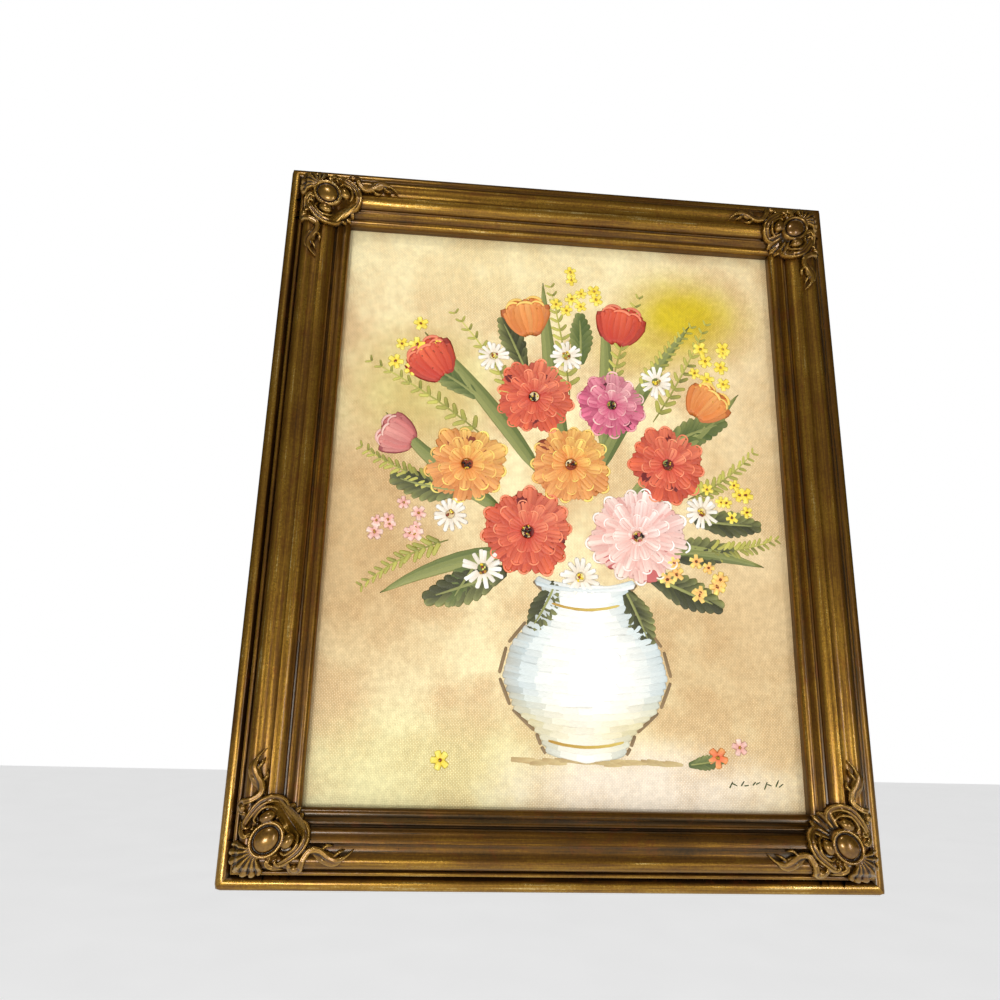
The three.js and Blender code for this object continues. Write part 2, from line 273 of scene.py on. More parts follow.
def finish_piece(name, bm, materials=()):
    """Turn a bmesh into a named object at the origin."""
    mesh = bpy.data.meshes.new(name)
    bm.to_mesh(mesh)
    bm.free()
    piece = bpy.data.objects.new(name, mesh)
    bpy.context.scene.collection.objects.link(piece)
    for material in materials:
        mesh.materials.append(material)
    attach(piece, "root")
    return piece


def into_place(turn):
    """From a corner-down stick or ornament at the outer edge to its side of the frame."""
    side = OUTER_WIDTH if turn % 180 else OUTER_HEIGHT
    centre = Matrix.Translation((0, 0, CENTRE_Z * MM))
    outwards = Matrix.Translation((0, 0, side / 2 * MM))
    return centre @ Matrix.Rotation(math.radians(turn), 4, "Y") @ outwards


# Across the moulding, the painted shade passes from the outer to the inner members between these two places.
PAINTED_SHADE_TURNS = (TORUS_FOOT[0], COVE[0])
GILT_FRONT = 0
BARE_WOOD = 1
rails = {}
for index, (name, (turn, length)) in enumerate(RAILS.items()):
    bm = run_moulding(length)
    along = bm.verts.layers.float["along"]
    glaze_shade_and_highlight = bm.verts.layers.float["glaze_shade_and_highlight"]
    for vert in bm.verts:
        vert[along] += 400 * index
        # Add this rail's painted shade to its glaze value.
        vert[glaze_shade_and_highlight] += np.interp(-vert.co.z / MM, PAINTED_SHADE_TURNS, PAINTED_SHADE_BY_RAIL[name])
    for face in bm.faces:
        middle = face.calc_center_median() / MM
        behind = middle.y > -0.01 or (middle.y > -RABBET_DEPTH - 0.01 and middle.z < FOOT_INSET - RABBET_WALL)
        face.material_index = BARE_WOOD if behind else GILT_FRONT
    shade(bm)
    bmesh.ops.transform(bm, matrix=into_place(turn), verts=bm.verts)
    rails[name] = finish_piece(name + "_gilded", bm)
    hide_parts(name)
print({name: len(rail.data.polygons) for name, rail in rails.items()})

# %% [markdown]
# ## Corner ornaments
#
# The ornament is composition pressed in a mould and glued over the mitre. A pressed piece has no
# undercuts, so it is truly a height map: one height over each place of the corner. A grid of small
# squares takes that height, and squares that would lie under the moulding are thrown away. The
# height is worked out as a carver works: ribbons with round backs, domes and fans of flutes are laid
# on a ground, and the highest wins. Places are (a, b), in millimetres from the outer corner along
# the two sides, and every feature has its twin with a and b exchanged.

# %% The carver's field
CELL = 0.2
REACH = 52.0
EMBED = 0.35
line = np.arange(0, REACH + CELL / 2, CELL)
A, B = np.meshgrid(line, line, indexing="ij")
GROUND = [
    (5.2, 17.7), (6.4, 19.0), (7.9, 19.5), (9.2, 21.7), (11.4, 22.5), (17.2, 22.5),
    (19.6, 22.1), (22.2, 20.6), (24.2, 19.5), (26.0, 17.9), (28.3, 17.0),
]
seat = front_height(np.minimum(A, B))
ground = np.interp(np.minimum(A, B), [p[0] for p in GROUND], [p[1] for p in GROUND])
relief = np.full_like(A, -99.0)


def ground_at(a, b):
    """Height of the smooth ground that the carving lies on."""
    return float(np.interp(min(a, b), [p[0] for p in GROUND], [p[1] for p in GROUND]))


def window(a, b, reach):
    """The part of the field that lies within reach of a place."""
    i = slice(max(0, int((a - reach) / CELL)), int((a + reach) / CELL) + 2)
    j = slice(max(0, int((b - reach) / CELL)), int((b + reach) / CELL) + 2)
    return i, j


def curve_through(points, steps):
    """A smooth curve through rows of numbers, as steps + 1 rows."""
    rows = np.array(points, float)
    rows = np.vstack([2 * rows[0] - rows[1], rows, 2 * rows[-1] - rows[-2]])
    result = []
    for t in np.linspace(0, len(points) - 1, steps + 1):
        i = min(int(t), len(points) - 2)
        f = t - i
        p0, p1, p2, p3 = rows[i : i + 4]
        bend = 2 * p1 + (p2 - p0) * f + (2 * p0 - 5 * p1 + 4 * p2 - p3) * f * f
        result.append(0.5 * (bend + (3 * p1 - p0 - 3 * p2 + p3) * f**3))
    return np.array(result)


def ribbon(points, widths, back=1.0, channel=0.0):
    """Lay a ribbon along (a, b, lift) points with the given half widths, its back round or channelled."""
    rows = [(*point, width) for point, width in zip(points, widths)]
    nearest = np.full_like(A, 9.0)
    body = np.full_like(A, -99.0)
    for a, b, lift, width in curve_through(rows, 24 * (len(rows) - 1)):
        width = max(width, 0.25)
        i, j = window(a, b, width)
        away = np.hypot(A[i, j] - a, B[i, j] - b) / width
        round_back = np.sqrt(np.clip(1 - away**2, 0, 1)) - channel * np.exp(-((away / 0.42) ** 2))
        closer = away < nearest[i, j]
        nearest[i, j] = np.where(closer, away, nearest[i, j])
        body[i, j] = np.where(closer, ground_at(a, b) + lift - 0.4 + width * back * round_back, body[i, j])
    np.copyto(relief, np.maximum(relief, body), where=nearest < 1)


def dome(a, b, lift, sizes, turn=0.0):
    """A round boss with half axes (along, across, up), its long axis turned from a towards b."""
    da, db = A - a, B - b
    c, s = math.cos(math.radians(turn)), math.sin(math.radians(turn))
    away = np.hypot((da * c + db * s) / sizes[0], (db * c - da * s) / sizes[1])
    body = ground_at(a, b) + lift + sizes[2] * np.sqrt(np.clip(1 - away**2, 0, 1))
    np.copyto(relief, np.maximum(relief, body), where=away < 1)


print("carver's field", A.shape, "cells of", CELL, "mm")

# %% Shell, palmette and their flutes
CENTRE = 18.4
SHELL = {"centre": 15.0, "ribs": 7, "spread": 67, "reach": 10.6, "shortest": 8.2, "rise": 2.0, "notch": 1.1}
PALMETTE = {
    "centre": CENTRE, "ribs": 5, "spread": 27, "reach": 14.2, "shortest": 13.2, "rise": 1.2, "notch": 1.0,
}


def fan(sizes, heading, slope, flute):
    """A fan of round lobes about a centre, in the given direction, falling towards its tips."""
    da, db = A - sizes["centre"], B - sizes["centre"]
    radius = np.hypot(da, db)
    angle = (np.degrees(np.arctan2(db, da)) - heading + 180) % 360 - 180
    lobe = sizes["spread"] * 2 / sizes["ribs"]
    place = angle / lobe + sizes["ribs"] / 2
    inside = np.abs(angle) < sizes["spread"]
    back = np.abs(np.sin(np.pi * place)) ** 0.6
    edge = sizes["reach"] + (sizes["shortest"] - sizes["reach"]) * (angle / sizes["spread"]) ** 2
    edge = edge - sizes["notch"] * (1 - back)
    t = np.clip(radius / edge, 0, 1)
    tip = np.sqrt(np.clip(1 - t**6, 0, 1))
    body = ground + (sizes["rise"] - slope * t) * tip + flute * back * t - 0.35
    np.copyto(relief, np.maximum(relief, body), where=inside & (radius < edge))


fan(SHELL, heading=225, slope=1.3, flute=2.3)
fan(PALMETTE, heading=45, slope=0.9, flute=1.5)

# %% Scrolls, leaves and tails
ribbon([(26, 24, 0.4), (30.2, 23.4, 0.8), (32, 19.8, 0.9), (30.2, 15.2, 0.8), (25.4, 11.4, 0.7),
        (20.8, 9.4, 0.3)],
       [0.7, 1.3, 1.6, 1.5, 1.2, 0.5], back=1.1, channel=0.45)
ribbon([(26.6, 22.2, 0.6), (29, 20, 1.0), (28.6, 16.2, 1.0), (25.2, 13.6, 0.7), (23.6, 14.2, 0.5)],
       [0.5, 0.6, 0.7, 0.6, 0.5], back=1.5)
dome(25.8, 18, 0.4, (3.0, 2.1, 2.1), turn=60)
ribbon([(20.2, 12.8, 0.6), (19.2, 10.6, 0.8), (21.2, 9.2, 0.7), (24.4, 8.4, 0.3)],
       [0.6, 1.0, 1.0, 0.3], back=1.3, channel=0.3)
ribbon([(22.4, 12.4, 0.4), (22.0, 10.8, 0.7), (23.8, 9.9, 0.6), (26.6, 10.4, 0.3)],
       [0.4, 0.7, 0.7, 0.3], back=1.4)
dome(28.6, 9.0, 0.3, (1.7, 1.5, 1.6))
ribbon([(35, 14.4, 0), (38.5, 12.9, 0.2), (42, 11.7, 0.2), (45.4, 12.6, 0)], [1.0, 2.3, 2.1, 0.6], back=0.4)
ribbon(
    [(26.4, 11.2, 0.5), (27.2, 8, 0.9), (30.2, 8.4, 0.9), (31.4, 12, 0.7), (33.6, 15, 0.8), (37, 15, 0.7),
     (40, 13, 0.6), (43, 12, 0.6), (46, 13, 0.4), (48.8, 15.4, 0.1)],
    [0.6, 1.0, 1.2, 1.2, 1.2, 1.1, 1.0, 0.9, 0.6, 0.25], back=1.2, channel=0.25,
)
ribbon([(37.6, 15.2, 0.3), (39.4, 16.6, 0.5), (41.6, 16.4, 0.1)], [0.5, 0.7, 0.25], back=1.3)
ribbon([(41.6, 12.8, 0.3), (43.6, 14.4, 0.5), (45.6, 15.2, 0.1)], [0.5, 0.65, 0.25], back=1.3)
ribbon([(36.6, 14.0, 0.2), (38.6, 11.8, 0.4), (41.2, 10.8, 0.1)], [0.5, 0.8, 0.25], back=1.2)

# %% Cabochon
BOSS = {"along": 7.0, "across": 5.7, "foot": 19.5, "rim": 24.3, "valley": 22.9, "gem": 25.1}
da, db = A - CENTRE, B - CENTRE
away = np.hypot((da + db) / math.sqrt(2) / BOSS["along"], (db - da) / math.sqrt(2) / BOSS["across"])
RIM_MIDDLE, RIM_HALF, GEM_EDGE = 0.87, 0.13, 0.7


def boss_round(share, top):
    """A round back between the valley and a top, where share runs from 0 to 1 down its side."""
    return BOSS["valley"] + (BOSS[top] - BOSS["valley"]) * np.sqrt(np.clip(1 - share**2, 0, 1))


rim = boss_round((away - RIM_MIDDLE) / RIM_HALF, "rim")
gem = boss_round(away / GEM_EDGE, "gem")
boss = np.where(away > RIM_MIDDLE - RIM_HALF, rim, np.where(away < GEM_EDGE, gem, BOSS["valley"]))
relief = np.where(away < 1, np.maximum(boss, np.where(away > 0.95, relief, boss)), relief)

# %% Both halves, worn soft
def soften(field, passes):
    """Average each cell with its neighbours a few times."""
    for _ in range(passes):
        padded = np.pad(field, 1, mode="edge")
        field = (padded[:-2, 1:-1] + padded[2:, 1:-1] + padded[1:-1, :-2] + padded[1:-1, 2:] + 2 * field) / 6
    return field


relief = np.maximum(relief, relief.T)
stands = relief > seat - EMBED
relief = np.where(stands, relief, seat - 1.2)
relief = soften(relief, 1)
# The ornament's glaze value: higher in its hollows, where glaze lies, and lowered on its sharp crests, a
# painted highlight that turns them paler.
crest_highlight = np.clip((relief - soften(relief, 6)) / 0.14, 0, 1)
relief_glaze_and_highlight = np.clip((soften(relief, 30) - relief) / 0.5 + 0.1, 0, 1.1) - 0.22 * crest_highlight
print(f"ornament: highest {relief.max():.2f} mm, {int(stands.sum())} cells stand")

# %% Press the ornament out of a grid
def press_ornament():
    """One ornament as a closed bmesh at its own corner: a grid raised to the relief, with a back."""
    bm = bmesh.new()
    cells = len(line) - 1
    centre = Matrix.Translation((-REACH / 2, -REACH / 2, 0))
    bmesh.ops.create_grid(bm, x_segments=cells, y_segments=cells, size=REACH / 2, matrix=centre)
    glaze_shade_and_highlight = bm.verts.layers.float.new("glaze_shade_and_highlight")
    buried = []
    for vert in bm.verts:
        i, j = round(-vert.co.x / CELL), round(-vert.co.y / CELL)
        height = relief[i, j]
        vert[glaze_shade_and_highlight] = relief_glaze_and_highlight[i, j]
        if height < seat[i, j] - EMBED:
            buried.append(vert)
        vert.co = Vector((vert.co.x, -height, vert.co.y)) * MM
    bmesh.ops.delete(bm, geom=buried, context="VERTS")
    loose = [vert for vert in bm.verts if not vert.link_faces]
    bmesh.ops.delete(bm, geom=loose, context="VERTS")
    rim = [edge for edge in bm.edges if edge.is_boundary]
    wall = bmesh.ops.extrude_edge_only(bm, edges=rim)["geom"]
    feet = [item for item in wall if isinstance(item, bmesh.types.BMVert)]
    for vert in feet:
        vert.co.y += 0.5 * MM
    bmesh.ops.holes_fill(bm, edges=[item for item in wall if isinstance(item, bmesh.types.BMEdge)], sides=0)
    bmesh.ops.recalc_face_normals(bm, faces=bm.faces)
    for face in bm.faces:
        face.smooth = True
    return bm


ORNAMENTS = {"top_right": 0, "bottom_right": 90, "bottom_left": 180, "top_left": 270}
ornaments = {}
pressing = press_ornament()
for corner, turn in ORNAMENTS.items():
    bm = pressing.copy()
    side = OUTER_HEIGHT if turn % 180 else OUTER_WIDTH
    bmesh.ops.translate(bm, verts=bm.verts, vec=(side / 2 * MM, 0, 0))
    bmesh.ops.transform(bm, matrix=into_place(turn), verts=bm.verts)
    ornaments[corner] = finish_piece(f"corner_ornament_{corner}_gilded", bm)
    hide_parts(f"corner_ornament_{corner}")
pressing.free()
print("faces in each ornament", len(ornaments["top_left"].data.polygons))

# %% Painted shade on the moulding round each ornament
ORNAMENT_SHADE = 0.75
# Painted shade: the footprint of the ornaments, blurred, darkens the moulding's glaze value close round them.
shade_round_ornament = soften(stands.astype(float), 90)
for rail in rails.values():
    values = rail.data.attributes["glaze_shade_and_highlight"].data
    for vert in rail.data.vertices:
        a = OUTER_WIDTH / 2 - abs(vert.co.x) / MM
        b = OUTER_HEIGHT / 2 - abs(vert.co.z / MM - CENTRE_Z)
        if max(a, b) < REACH:
            i, j = max(0, round(a / CELL)), max(0, round(b / CELL))
            values[vert.index].value = min(1, values[vert.index].value + ORNAMENT_SHADE * shade_round_ornament[i, j])

# %% [markdown]
# ## Canvas board
#
# The painting is on a canvas board: primed cotton glued over card, with its margins folded over to
# the back. A cube takes the board's size from the frame. Its edges are bevelled as wrapped cloth
# rounds them, and an inset on the back, pushed in by the cloth's thickness, leaves the folded margin
# with its mitred corners.

# %% Canvas board
FOLDED_MARGIN = 15.0
CLOTH = 0.3

size = board_high - board_low
bm = bmesh.new()
bmesh.ops.create_cube(bm, size=1.0)
bmesh.ops.scale(bm, vec=size, verts=bm.verts)
bmesh.ops.translate(bm, vec=(board_high + board_low) / 2, verts=bm.verts)
bmesh.ops.bevel(
    bm, geom=bm.edges[:], offset=0.5 * MM, offset_type="OFFSET", segments=3, profile=0.5,
    affect="EDGES", material=-1,
)
for face in bm.faces:
    face.material_index = 1
    face.smooth = True
front_face = min(bm.faces, key=lambda face: face.calc_center_median().y)
back_face = max(bm.faces, key=lambda face: face.calc_center_median().y)
front_face.material_index = 0
bmesh.ops.inset_region(bm, faces=[back_face], thickness=FOLDED_MARGIN * MM, use_even_offset=True)
step = bmesh.ops.extrude_face_region(bm, geom=[back_face])["geom"]
panel = next(item for item in step if isinstance(item, bmesh.types.BMFace))
bmesh.ops.translate(bm, verts=panel.verts, vec=(0, -CLOTH * MM, 0))
panel.material_index = 2
bmesh.ops.recalc_face_normals(bm, faces=bm.faces)
shade(bm)
board = finish_piece("canvas_board_painted", bm)
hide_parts("canvas_board")
print("canvas board", [round(value / MM, 1) for value in size], "mm")

# %% [markdown]
# ## Finish, 1: shared effects
#
# Real finishes share a few effects: brush marks that run one way, specks, and the threads of woven
# cloth. Each is a node group with named inputs, so that the gilding, the bare wood and the paint can
# use the same streaks with their own lengths. A few short helpers keep the node code readable.

# %% Node helpers
def node(tree, kind, sockets=None, **settings):
    """Add a shader node, set its options, then set or link its inputs by name or number."""
    made = tree.nodes.new("ShaderNode" + kind)
    for option, value in settings.items():
        setattr(made, option, value)
    for key, value in (sockets or {}).items():
        if isinstance(value, bpy.types.NodeSocket):
            tree.links.new(value, made.inputs[key])
        else:
            made.inputs[key].default_value = value
    return made


def calc(tree, operation, *values, clamp=False):
    """One Math node."""
    return node(tree, "Math", dict(enumerate(values)), operation=operation, use_clamp=clamp).outputs[0]


def total(tree, *parts):
    """The sum of value times weight over (value, weight) parts and plain numbers."""
    result = 0.0
    for part in parts:
        value, weight = part if isinstance(part, tuple) else (part, 1.0)
        result = calc(tree, "MULTIPLY_ADD", value, weight, result)
    return result


def fade(tree, value, start, end, low=0.0, high=1.0):
    """Smoothly from low at start to high at end."""
    sockets = {"Value": value, "From Min": start, "From Max": end, "To Min": low, "To Max": high}
    return node(tree, "MapRange", sockets, interpolation_type="SMOOTHSTEP").outputs[0]


def blend(tree, factor, a, b, kind="MIX"):
    """Mix two colours."""
    return node(tree, "Mix", {0: factor, 6: a, 7: b}, data_type="RGBA", blend_type=kind).outputs[2]


def noise(tree, vector, scale, detail=3.0, roughness=0.5, distortion=0.0):
    """Fractal noise around 0.5."""
    sockets = {"Vector": vector, "Scale": scale, "Detail": detail, "Roughness": roughness}
    sockets["Distortion"] = distortion
    return node(tree, "TexNoise", sockets).outputs[0]


def shades(tree, factor, stops):
    """A colour ramp with (position, colour) stops."""
    ramp = node(tree, "ValToRGB", {"Fac": factor})
    elements = ramp.color_ramp.elements
    while len(elements) < len(stops):
        elements.new(0.5)
    for element, (position, colour) in zip(elements, stops):
        element.position = position
        element.color = colour
    return ramp.outputs[0]


def colour(red, green, blue):
    """A colour as a paint chart gives it, 0 to 255, in the linear values that nodes use."""
    return (*[((c / 255 + 0.055) / 1.055) ** 2.4 if c > 10 else c / 3294 for c in (red, green, blue)], 1.0)


def new_group(name, inputs, outputs):
    """An empty shader node group with named sockets."""
    group = bpy.data.node_groups.new(name, "ShaderNodeTree")
    for socket, kind, value in inputs:
        made = group.interface.new_socket(socket, in_out="INPUT", socket_type="NodeSocket" + kind)
        if value is not None:
            made.default_value = value
    for socket, kind in outputs:
        group.interface.new_socket(socket, in_out="OUTPUT", socket_type="NodeSocket" + kind)
    return group, group.nodes.new("NodeGroupInput").outputs, group.nodes.new("NodeGroupOutput").inputs


def use(tree, group, sockets):
    """Place a shared effect in a material with its own values, and return its outputs."""
    made = tree.nodes.new("ShaderNodeGroup")
    made.node_tree = group
    for key, value in sockets.items():
        if isinstance(value, bpy.types.NodeSocket):
            tree.links.new(value, made.inputs[key])
        else:
            made.inputs[key].default_value = value
    return made.outputs


def new_material(name):
    """A material with an empty tree and its Principled shader, as (material, tree, shader)."""
    material = bpy.data.materials.new(name)
    material.use_nodes = True
    tree = material.node_tree
    tree.nodes.clear()
    shader = node(tree, "BsdfPrincipled")
    output = node(tree, "OutputMaterial")
    tree.links.new(shader.outputs[0], output.inputs["Surface"])
    return material, tree, shader


def surface(tree, shader, sockets):
    """Set or link the shader's sockets by name."""
    for key, value in sockets.items():
        if isinstance(value, bpy.types.NodeSocket):
            tree.links.new(value, shader.inputs[key])
        else:
            shader.inputs[key].default_value = value


def attribute(tree, name):
    """A number stored on the piece's vertices."""
    return node(tree, "Attribute", attribute_name=name).outputs["Fac"]


def in_millimetres(tree):
    """Object coordinates in millimetres from the middle of the picture."""
    coordinates = node(tree, "TexCoord").outputs["Object"]
    sockets = {"Vector": coordinates, "Location": (0, 0, -CENTRE_Z), "Scale": (1000, 1000, 1000)}
    return node(tree, "Mapping", sockets).outputs[0]


def relief_bump(tree, height, depth, strength=1.0):
    """A normal from a height between 0 and 1, depth in millimetres."""
    sockets = {"Height": height, "Distance": depth * MM, "Strength": strength}
    return node(tree, "Bump", sockets).outputs[0]


# %% Streaks, specks and weave
streaks, given, gives = new_group(
    "streaks",
    [("Along", "Float", 0.0), ("Across", "Float", 0.0), ("Length", "Float", 40.0), ("Width", "Float", 1.0)],
    [("Broad", "Float"), ("Fine", "Float")],
)
vector = node(streaks, "CombineXYZ", {
    "X": calc(streaks, "DIVIDE", given["Along"], given["Length"]),
    "Y": calc(streaks, "DIVIDE", given["Across"], given["Width"]),
}).outputs[0]
streaks.links.new(noise(streaks, vector, 1.0, 2.0, 0.5, 0.15), gives["Broad"])
streaks.links.new(noise(streaks, vector, 3.7, 3.0, 0.65, 0.1), gives["Fine"])

specks, given, gives = new_group(
    "specks",
    [("Vector", "Vector", None), ("Size", "Float", 1.0), ("Amount", "Float", 0.2)],
    [("Mask", "Float")],
)
scale = calc(specks, "DIVIDE", 1.0, given["Size"])
grit = noise(specks, given["Vector"], scale, 4.0, 0.7)
limit = calc(specks, "SUBTRACT", 0.78, given["Amount"])
specks.links.new(fade(specks, grit, limit, calc(specks, "ADD", limit, 0.06)), gives["Mask"])

weave, given, gives = new_group(
    "weave",
    [("Vector", "Vector", None), ("Pitch", "Float", 0.7)],
    [("Height", "Float"), ("Gaps", "Float")],
)
wander = noise(weave, given["Vector"], 0.11, 2.0)
place = node(weave, "SeparateXYZ", {"Vector": given["Vector"]}).outputs
turns = []
for axis, sway in (("X", 1.4), ("Z", -1.1)):
    moved = calc(weave, "MULTIPLY_ADD", wander, sway, place[axis])
    turns.append(calc(weave, "MULTIPLY", calc(weave, "DIVIDE", moved, given["Pitch"]), math.pi))
warp, weft = (calc(weave, "SINE", turn) for turn in turns)
over = calc(weave, "MULTIPLY", warp, weft)
raised = []
for thread, rise, dip in ((warp, 0.55, 0.45), (weft, 0.4, -0.25)):
    back = calc(weave, "SQRT", calc(weave, "ABSOLUTE", thread))
    raised.append(calc(weave, "MULTIPLY", back, total(weave, rise, (over, dip))))
top = calc(weave, "MAXIMUM", *raised)
weave.links.new(top, gives["Height"])
weave.links.new(fade(weave, top, 0.9, 0.35), gives["Gaps"])
print("shared effects", [group.name for group in bpy.data.node_groups])

# %% [markdown]
# ## Finish, 2: old gold
#
# The frame is finished as frames of this kind are: brown underneath, bronze-gold brushed on along
# the length, then a brown glaze wiped off the high members, so that it stays in the grooves. One
# group mixes these layers from the streaks, the glaze value and some grit. Besides the glaze, that
# value carries painted shade on the moulding and a painted highlight on the ornaments' crests.
# Where gold wins, the surface is more metallic and smoother; where glaze wins, it is dark and duller.

# %% Old gold
UMBER = colour(36, 17, 2)
BRONZE = colour(98, 62, 10)
GOLD = colour(156, 116, 34)
PALE_GOLD = colour(238, 218, 156)
RED_BOLE = colour(104, 46, 14)

old_gold, given, gives = new_group(
    "old gold",
    [
        ("Position", "Vector", None),
        ("Along", "Float", 0.0), ("Across", "Float", 0.0), ("GlazeShadeHighlight", "Float", 0.0),
        ("Length", "Float", 60.0), ("Width", "Float", 1.2), ("Glaze", "Float", 0.0), ("Wiped", "Float", 0.9),
    ],
    [("Color", "Color"), ("Metal", "Float"), ("Dull", "Float"), ("Height", "Float")],
)
brushed = use(old_gold, streaks, {key: given[key] for key in ("Along", "Across", "Length", "Width")})
grit = noise(old_gold, given["Position"], 1.1, 4.0, 0.65)
cloud = noise(old_gold, given["Position"], 0.05, 2.0)
stain = use(old_gold, specks, {"Vector": given["Position"], "Size": 1.6, "Amount": 0.09})["Mask"]
# The glaze value times the wiping: real glaze down in the hollows together with painted shade, and below zero
# a painted highlight on the ornaments' crests.
glaze_and_painted_light = calc(old_gold, "MULTIPLY", given["GlazeShadeHighlight"], given["Wiped"])
rubbed = total(
    old_gold, 0.66, (brushed["Broad"], 0.8), (brushed["Fine"], 0.75), (grit, 0.45), (cloud, 0.5), -1.3,
    (glaze_and_painted_light, -1.0), (given["Glaze"], -1.0), (stain, -0.25),
)
rubbed = calc(old_gold, "ADD", rubbed, 0.0, clamp=True)
tone = shades(old_gold, rubbed, [(0.0, UMBER), (0.38, BRONZE), (0.72, GOLD), (1.0, PALE_GOLD)])
bole = fade(old_gold, noise(old_gold, given["Position"], 0.16, 3.0, 0.6, 1.0), 0.52, 0.72, 0.0, 0.5)
bole = calc(old_gold, "MULTIPLY", bole, fade(old_gold, brushed["Fine"], 0.35, 0.6))
tone = blend(old_gold, bole, tone, RED_BOLE)
old_gold.links.new(tone, gives["Color"])
old_gold.links.new(fade(old_gold, rubbed, 0.05, 0.7, 0.5, 0.8), gives["Metal"])
old_gold.links.new(total(old_gold, 0.38, (rubbed, -0.16), (grit, 0.14), -0.07), gives["Dull"])
height = total(old_gold, (brushed["Fine"], 0.5), (grit, 0.5), (stain, -0.3))
old_gold.links.new(height, gives["Height"])

# %% Gilded moulding and casting
def gilding(name, sockets, bump, coat):
    """Old gold as a material, with the group's own values for this piece."""
    material, tree, shader = new_material(name)
    position = in_millimetres(tree)
    values = {"Position": position, "GlazeShadeHighlight": attribute(tree, "glaze_shade_and_highlight")}
    for key, value in sockets.items():
        values[key] = attribute(tree, value) if isinstance(value, str) else value
    layer = use(tree, old_gold, values)
    surface(tree, shader, {
        "Base Color": layer["Color"], "Metallic": layer["Metal"], "Roughness": layer["Dull"],
        "Specular IOR Level": 0.6, "Specular Tint": PALE_GOLD, "Coat Weight": coat, "Coat Roughness": 0.18,
        "Normal": relief_bump(tree, layer["Height"], bump),
    })
    return material


BRUSHED = {"Along": "along", "Across": "across", "Wiped": 0.6}
DABBED = {"Length": 3.0, "Width": 3.0, "Wiped": 1.0, "Glaze": 0.12}
gilded_moulding = gilding("gilded_moulding", BRUSHED, bump=0.07, coat=0.35)
gilded_casting = gilding("gilded_casting", DABBED, bump=0.03, coat=0.8)

bare_wood, tree, shader = new_material("bare_wood")
grain = use(tree, streaks, {
    "Along": attribute(tree, "along"), "Across": attribute(tree, "across"), "Length": 30.0, "Width": 0.9,
})
ring = total(tree, (grain["Broad"], 0.6), (grain["Fine"], 0.4))
tone = shades(tree, ring, [(0.3, colour(120, 88, 56)), (0.7, colour(186, 150, 106))])
rough = relief_bump(tree, grain["Fine"], 0.1)
surface(tree, shader, {"Base Color": tone, "Roughness": 0.75, "Normal": rough})

for rail in rails.values():
    rail.data.materials.append(gilded_moulding)
    rail.data.materials.append(bare_wood)
for ornament in ornaments.values():
    ornament.data.materials.append(gilded_casting)
print("gilded", len(rails), "rails and", len(ornaments), "ornaments")

# %% [markdown]
# ## Finish, 3: the painted ground
#
# The background of the picture is thin paint scrubbed into the canvas, so it is colour on the board
# and has no body of its own. Broad soft patches are laid one over another, as a painter blocks in:
# cream at the top, peach at the sides, a yellow glow at the upper right, and a pale table below. Each
# patch fades out from its middle and its edge wanders. The weave gives the bump, and the colour is
# a little darker and tanner in the gaps between threads.

# %% Painted ground
THREAD = 0.62
CREAM = colour(250, 238, 190)
PEACH = colour(236, 212, 166)
TAN = colour(208, 172, 118)
GLOW = colour(218, 196, 14)
LIME = colour(204, 196, 84)
TABLE = colour(240, 234, 176)
TABLE_WHITE = colour(248, 236, 218)

painted_ground, tree, shader = new_material("painted_ground")
position = in_millimetres(tree)
weft = use(tree, weave, {"Vector": position, "Pitch": THREAD})
wander = noise(tree, position, 0.035, 4.0, 0.6)
scrub = noise(tree, position, 0.35, 5.0, 0.7)


def patch(middle, reach, strength, soft=0.75):
    """A soft patch of paint with a wandering edge, as a mask."""
    sockets = {"Vector": position, "Location": [-m / r for m, r in zip(middle, reach)]}
    sockets["Scale"] = [1 / r for r in reach]
    moved = node(tree, "Mapping", sockets).outputs[0]
    far = node(tree, "VectorMath", {0: moved}, operation="LENGTH").outputs["Value"]
    edge = total(tree, far, (wander, 0.7), (scrub, 0.25), -0.475)
    return fade(tree, edge, 1.0 + soft / 2, 1.0 - soft, 0.0, strength)


FLAT = 1000
tone = blend(tree, fade(tree, wander, 0.35, 0.65), CREAM, PEACH)
for paint, middle, reach, strength in (
    (PEACH, (92, 0, 10), (46, FLAT, 120), 0.85),
    (TAN, (-84, 0, -20), (50, FLAT, 62), 0.8),
    (TAN, (62, 0, -58), (44, FLAT, 38), 0.55),
    (CREAM, (-20, 0, 108), (80, FLAT, 34), 0.9),
    (LIME, (-60, 0, 48), (34, FLAT, 30), 0.5),
    (GLOW, (34, 0, 70), (22, FLAT, 14), 0.5),
    (GLOW, (56, 0, 88), (30, FLAT, 22), 1.0),
    (TABLE, (-52, 0, -108), (62, FLAT, 24), 0.9),
    (TABLE_WHITE, (34, 0, -114), (58, FLAT, 18), 0.95),
):
    tone = blend(tree, patch(middle, reach, strength), tone, paint)
